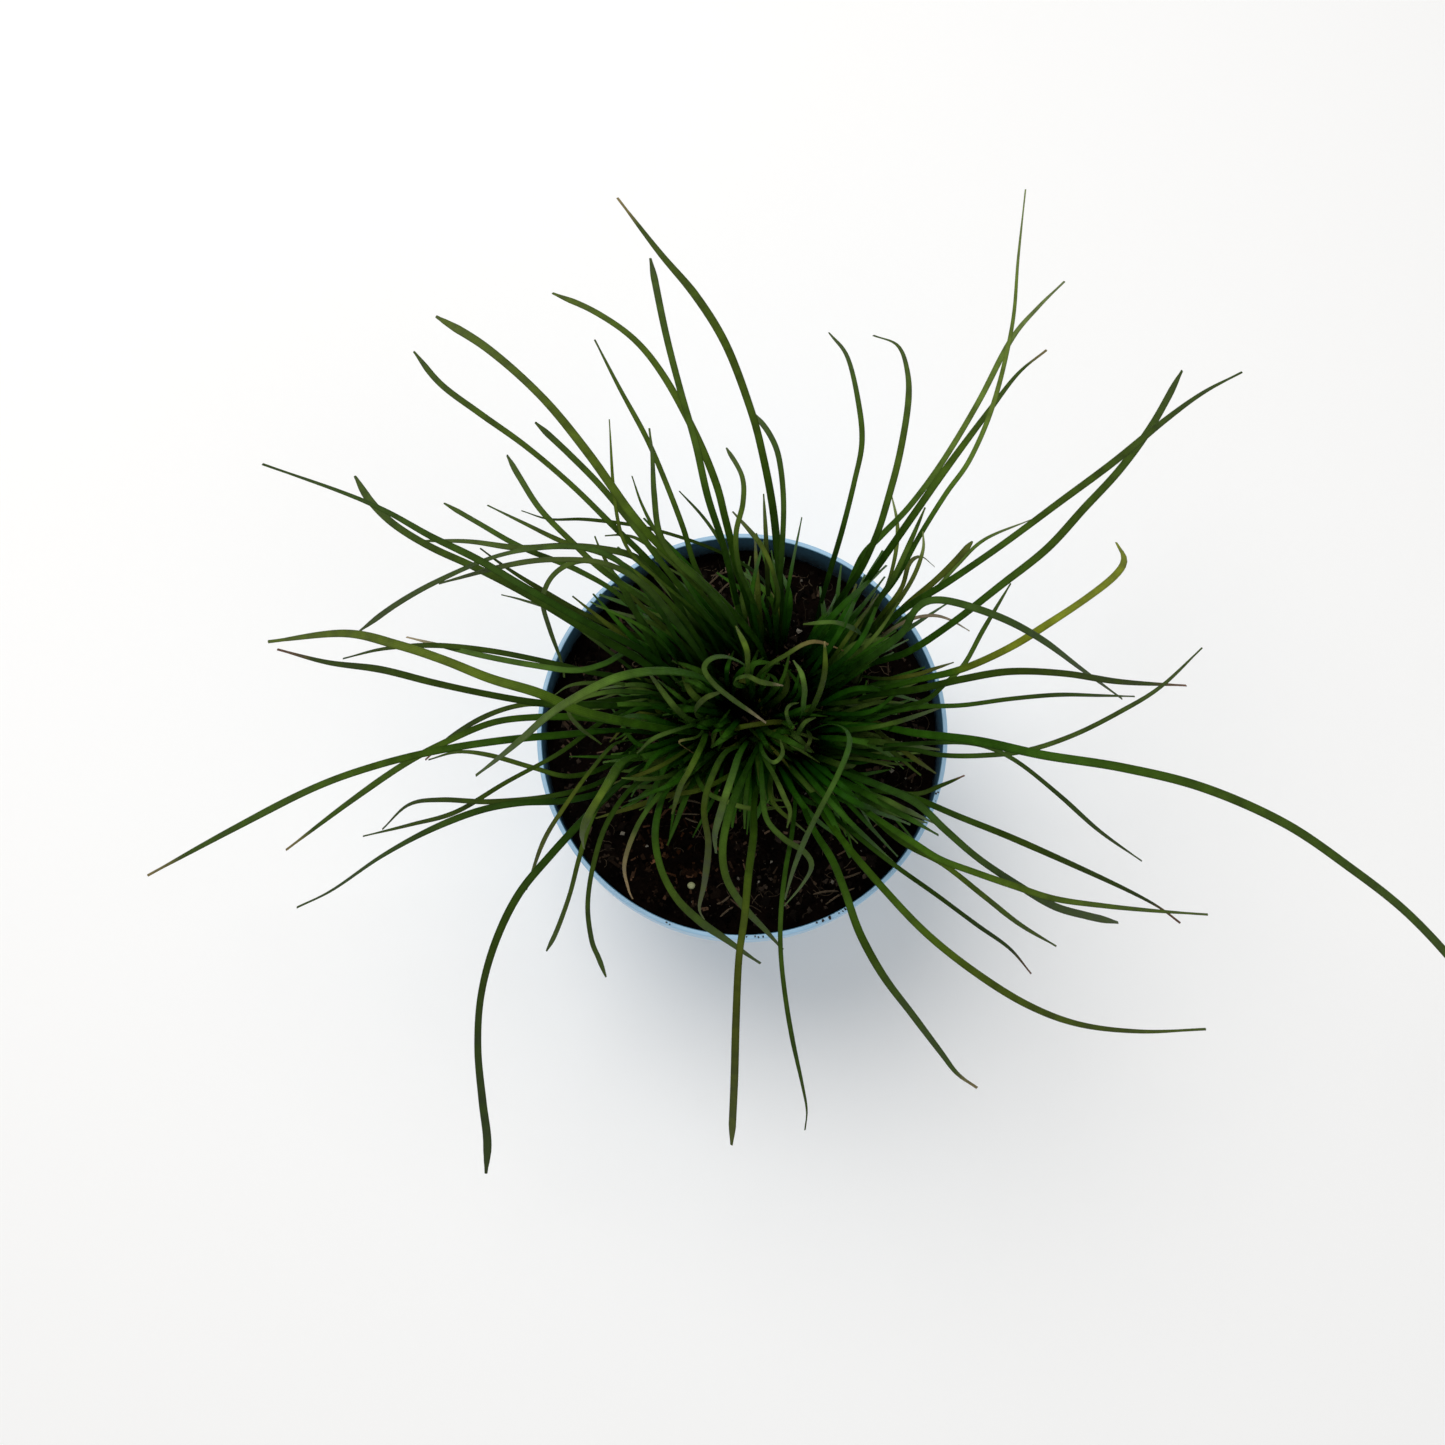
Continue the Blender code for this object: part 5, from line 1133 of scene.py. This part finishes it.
def lump(rng, centre, size, flat):
    """A small irregular lump with eight faces."""
    corners = np.array(((1, 0, 0), (-1, 0, 0), (0, 1, 0), (0, -1, 0), (0, 0, 1), (0, 0, -1)), dtype=float)
    corners = corners * rng.uniform(0.55, 1.15, (6, 3)) + rng.uniform(-0.22, 0.22, (6, 3))
    angle = rng.uniform(0, math.tau)
    turned = np.column_stack((corners[:, 0] * math.cos(angle) - corners[:, 1] * math.sin(angle),
                              corners[:, 0] * math.sin(angle) + corners[:, 1] * math.cos(angle),
                              corners[:, 2] * flat))
    verts = turned * size / 2 + centre
    faces = [(0, 2, 4), (2, 1, 4), (1, 3, 4), (3, 0, 4), (2, 0, 5), (1, 2, 5), (3, 1, 5), (0, 3, 5)]
    return verts, faces


def chip(rng, centre, length, width, thick):
    """A splinter of bark: a tapered slab, lying at any angle and a little tilted."""
    ends = rng.uniform(0.35, 1.0, 4)
    half = np.array((length, width, thick)) / 2
    corners = np.array([(sx, sy * (ends[0] if sx < 0 else ends[1]), sz * (ends[2] if sx < 0 else ends[3]))
                        for sx in (-1, 1) for sy in (-1, 1) for sz in (-1, 1)]) * half
    yaw = rng.uniform(0, math.tau)
    pitch = rng.uniform(-0.35, 0.35)
    x = corners[:, 0] * math.cos(pitch) - corners[:, 2] * math.sin(pitch)
    z = corners[:, 0] * math.sin(pitch) + corners[:, 2] * math.cos(pitch)
    y = corners[:, 1]
    turned_x = x * math.cos(yaw) - y * math.sin(yaw)
    turned_y = x * math.sin(yaw) + y * math.cos(yaw)
    verts = np.column_stack((turned_x, turned_y, z))
    faces = [(0, 1, 3, 2), (4, 6, 7, 5), (0, 4, 5, 1), (2, 3, 7, 6), (0, 2, 6, 4), (1, 5, 7, 3)]
    return verts + centre, faces


def fibre(points, radius):
    """A thin root or straw through some points, four-sided."""
    pts = np.array(points)
    ways = np.gradient(pts, axis=0)
    ways /= np.linalg.norm(ways, axis=1)[:, None] + 1e-9
    verts = []
    for i, (point, way) in enumerate(zip(pts, ways)):
        side = np.cross(way, (0.0, 0.0, 1.0))
        side /= np.linalg.norm(side) + 1e-9
        up = np.cross(side, way)
        thin = radius * (0.45 if i in (0, len(pts) - 1) else 1.0)
        verts += [point + side * thin, point + up * thin, point - side * thin, point - up * thin]
    return verts, tube_ends(4, len(pts)) + tube_faces(4, len(pts))


def spot(rng, reach):
    radius = reach * math.sqrt(rng.uniform(0, 1))
    angle = rng.uniform(0, math.tau)
    return radius * math.cos(angle), radius * math.sin(angle)


def join_bits(name, bits, coat):
    """Many small pieces on the soil as one mesh, each with its own tone."""
    parts = [(verts, faces, [tone] * len(verts), []) for verts, faces, tone in bits]
    verts, faces, tones, _ = joined(parts)
    mesh = mesh_from(name, verts, faces, smooth=False)
    put_colours(mesh, "tone", tones)
    return show(name, mesh, "soil", coat)


# How many pieces lie on the soil, how big they are in mm, and their tones
CRUMB_COUNT = 3800
CLOD_COUNT = 700
CHIP_COUNT = 700
FIBRE_COUNT = 50
TANGLE_COUNT = 10
PALE_COUNT = 90
SOIL_REACH = 61.0
RED_PATCH = (-20.0, -35.0)
RED_REACH = 24.0
CRUMB_TONE = np.array((0.0100, 0.0072, 0.0052))
CHIP_TONE = np.array((0.034, 0.022, 0.014))
FIBRE_TONE = np.array((0.085, 0.062, 0.040))
PALE_TONE = np.array((0.22, 0.20, 0.16))
# Pale lumps and sticks that stand out on the soil, in mm on the plane of the rim
PALE_LUMPS = ((-37.5, -32, 1.6), (-30, -36, 1.3), (9, -41, 1.3), (-1.5, -46, 1.6), (5, -47, 1.4),
              (28, -47, 1.5), (47, -12, 1.8), (51.5, -14.5, 1.5), (19, 49.5, 1.4), (18, 33, 2.4))
CREAM_PELLET = (-16, -48.3, 2.5)
PELLET_SHAPE = (1.0, 0.92, 0.85)
PELLET_TONE = np.array((0.42, 0.44, 0.24))
# Where roots lie tangled on the soil, and where crumbs lie on the rim, with how many
TANGLES = ((23, -52, 6), (29, -49, 5), (-10, 51, 4), (-1, -33, 5), (-18, -35, 6), (22, 47, 5),
           (3, -52, 5), (43, 18, 4), (56, 5, 4), (52, -11, 5), (-43, -37, 5), (-52, 24, 3))
RIM_CRUMBS = ((30, -57.5, 9), (25, -60, 4), (4, -65, 5), (-22, -61, 2), (61, -20, 3))
STICKS = (((-21.5, -26), (-13.5, -26)), ((-20, -21.5), (-13, -22.5)), ((22, -51), (30, -50)),
          ((26, -54), (35, -49)), ((-10, 51), (-5, 52)), ((30, -46), (37, -44)), ((41, -30), (46, -24)),
          ((-8, -54), (-4, -51.5)), ((-7, -58), (-3, -55)), ((-11, 48), (-6, 53)), ((-8, 45), (-3, 49.5)),
          ((-18, -27), (-14, -28.5)))


def on_soil(seen):
    """The place on the soil that the eye sees at a point on the plane of the rim."""
    x, y, z = sight_point(seen, POT_HEIGHT - SOIL_DEPTH_BELOW_RIM)
    return x, y


def patch_tone(x, y):
    """How light and how reddish the soil is at a place, in patches."""
    light = math.exp(1.5 * noise.noise(Vector((x * 0.09, y * 0.09, 11.0))))
    red = 1.0 + 0.8 * max(0.0, 1.0 - math.dist((x, y), RED_PATCH) / RED_REACH)
    return np.array((light * red, light, light * (2.0 - red) ** 0.5))


def crumbs(rng):
    """The soil's own pieces: fine crumbs, bigger clods and splinters of bark."""
    bits = []
    for _ in range(CRUMB_COUNT):
        x, y = spot(rng, SOIL_REACH)
        size = rng.uniform(0.5, 1.7) ** 1.3
        verts, faces = lump(rng, (x, y, soil_height(x, y) + 0.1 * size), size, rng.uniform(0.6, 1.0))
        bits.append((verts, faces, CRUMB_TONE * math.exp(rng.normal(-0.8, 1.1)) * patch_tone(x, y)))
    for _ in range(CLOD_COUNT):
        x, y = spot(rng, SOIL_REACH - 2)
        size = rng.uniform(1.8, 4.8)
        verts, faces = lump(rng, (x, y, soil_height(x, y) - 0.05 * size), size, rng.uniform(0.6, 0.95))
        bits.append((verts, faces, CRUMB_TONE * math.exp(rng.normal(-0.5, 1.0)) * patch_tone(x, y)))
    for _ in range(CHIP_COUNT):
        x, y = spot(rng, SOIL_REACH - 2)
        length = rng.uniform(1.2, 4.2)
        centre = (x, y, soil_height(x, y) + 0.2)
        verts, faces = chip(rng, centre, length, rng.uniform(0.5, 1.6), rng.uniform(0.2, 0.5))
        bits.append((verts, faces, CHIP_TONE * rng.uniform(0.1, 1.7) ** 1.8 * patch_tone(x, y)))
    for seen_x, seen_y, count in RIM_CRUMBS:
        for _ in range(count):
            middle = math.atan2(seen_y, seen_x) + rng.uniform(-0.06, 0.06)
            radius = RIM_RADIUS - WALL / 2 + rng.uniform(-0.35, 0.35)
            size = rng.uniform(0.5, 1.1)
            centre = (radius * math.cos(middle), radius * math.sin(middle), POT_HEIGHT + 0.22 * size)
            verts, faces = lump(rng, centre, size, 0.6)
            bits.append((verts, faces, CHIP_TONE * rng.uniform(0.4, 1.4)))
    return bits


def straws(rng):
    """Fine roots and straws that lie on the soil, and the sticks that stand out."""
    bits = []
    starts = [spot(rng, SOIL_REACH - 5) for _ in range(FIBRE_COUNT)]
    for seen_x, seen_y, reach in TANGLES:
        x, y = on_soil((seen_x, seen_y))
        for _ in range(TANGLE_COUNT):
            starts.append((x + rng.uniform(-reach, reach), y + rng.uniform(-reach, reach)))
    for x, y in starts:
        angle = rng.uniform(0, math.tau)
        bend = rng.uniform(-0.35, 0.35)
        step = rng.uniform(0.4, 1.1)
        points = []
        for _ in range(8):
            points.append((x, y, soil_height(x, y) + 0.35))
            angle += bend + rng.normal(0, 0.3)
            x += step * math.cos(angle)
            y += step * math.sin(angle)
        if math.hypot(x, y) > SOIL_REACH:
            continue
        verts, faces = fibre(points, rng.uniform(0.06, 0.16))
        bits.append((verts, faces, FIBRE_TONE * rng.uniform(0.1, 1.1)))
    for first, last in STICKS:
        a = np.array(on_soil(first))
        b = np.array(on_soil(last))
        sag = rng.uniform(-0.6, 0.6)
        points = []
        for t in np.linspace(0, 1, 7):
            x, y = a + (b - a) * t + (0.0, sag * math.sin(math.pi * t))
            points.append((x, y, soil_height(x, y) + 0.7))
        verts, faces = fibre(points, rng.uniform(0.2, 0.34))
        bits.append((verts, faces, FIBRE_TONE * rng.uniform(0.9, 1.7)))
    return bits


def pale_lumps(rng):
    """Whitish grains and pellets on the soil."""
    bits = []
    for _ in range(PALE_COUNT):
        x, y = spot(rng, SOIL_REACH - 3)
        size = rng.uniform(0.3, 0.9)
        verts, faces = lump(rng, (x, y, soil_height(x, y) + 0.2 * size), size, 0.8)
        bits.append((verts, faces, PALE_TONE * rng.uniform(0.25, 1.0)))
    for seen_x, seen_y, size in PALE_LUMPS:
        x, y = on_soil((seen_x, seen_y))
        verts, faces = lump(rng, (x, y, soil_height(x, y) + 0.35 * size), size, 0.8)
        bits.append((verts, faces, PALE_TONE * rng.uniform(0.7, 1.2)))
    return bits


def pellet(seen_x, seen_y, size):
    """A smooth round cream pellet lying on the soil."""
    x, y = on_soil((seen_x, seen_y))
    work = bmesh.new()
    bmesh.ops.create_icosphere(work, subdivisions=3, radius=size / 2)
    middle = (x, y, soil_height(x, y) + 0.4 * size)
    verts = [np.array(v.co) * PELLET_SHAPE + middle for v in work.verts]
    faces = [tuple(v.index for v in face.verts) for face in work.faces]
    work.free()
    return verts, faces, PELLET_TONE


def add_bits():
    rng = np.random.default_rng(SEED + 1)
    join_bits("soil_crumbs", crumbs(rng), bits_material("soil_crumb", 0.95))
    join_bits("soil_fibres", straws(rng), bits_material("soil_fibre", 0.8))
    join_bits("soil_pale_lumps", pale_lumps(rng), bits_material("soil_pale_lump", 0.9))
    join_bits("soil_pellet", [pellet(*CREAM_PELLET)], bits_material("soil_pellet", 0.8))


def add_camera():
    data = bpy.data.cameras.new("view")
    data.sensor_width = SENSOR_MM
    data.lens = LENS_MM
    camera = bpy.data.objects.new("view", data)
    camera.location = (EYE[0] * MM, EYE[1] * MM, (EYE[2] + POT_HEIGHT) * MM)
    camera.rotation_euler = (EYE_TILT, 0.0, 0.0)
    bpy.context.scene.collection.objects.link(camera)
    bpy.context.scene.camera = camera


# The floor and the lights, in metres and watts: name, place, size, power, colour
FLOOR_TONE = (0.93, 0.93, 0.93, 1.0)
LIGHTS = (
    ("key", (-0.30, 0.42, 1.28), 0.75, 11.0, (1.0, 0.985, 0.96)),
    ("fill", (0.9, -0.7, 1.0), 1.0, 2.0, (0.95, 0.98, 1.0)),
)
LIGHT_TARGET = (0, 0, 0.12)
SKY_STRENGTH = 0.5


def area_light(name, place, size, power, colour):
    data = bpy.data.lights.new(name, "AREA")
    data.shape = "DISK"
    data.size = size
    data.energy = power
    data.color = colour
    lamp = bpy.data.objects.new(name, data)
    lamp.location = place
    lamp.rotation_euler = (Vector(LIGHT_TARGET) - Vector(place)).to_track_quat("-Z", "Y").to_euler()
    bpy.context.scene.collection.objects.link(lamp)


def add_stage():
    floor_mesh = bpy.data.meshes.new("floor")
    work = bmesh.new()
    bmesh.ops.create_grid(work, x_segments=1, y_segments=1, size=4.0)
    work.to_mesh(floor_mesh)
    work.free()
    coat, tree, shader = new_material("pale_floor")
    put_inputs(tree, shader, {"Base Color": FLOOR_TONE, "Roughness": 0.8, "Specular IOR Level": 0.1})
    floor_mesh.materials.append(coat)
    floor = bpy.data.objects.new("floor", floor_mesh)
    bpy.context.scene.collection.objects.link(floor)
    for lamp in LIGHTS:
        area_light(*lamp)
    world = bpy.data.worlds.new("studio")
    world.use_nodes = True
    sky = world.node_tree.nodes["Background"]
    sky.inputs["Color"].default_value = (1.0, 1.0, 1.0, 1.0)
    sky.inputs["Strength"].default_value = SKY_STRENGTH
    bpy.context.scene.world = world
    view = bpy.context.scene.view_settings
    view.view_transform = "Standard"
    view.look = "None"


def main():
    add_camera()
    add_stage()
    add_pot()
    add_soil()
    add_bits()
    add_leaves()


main()
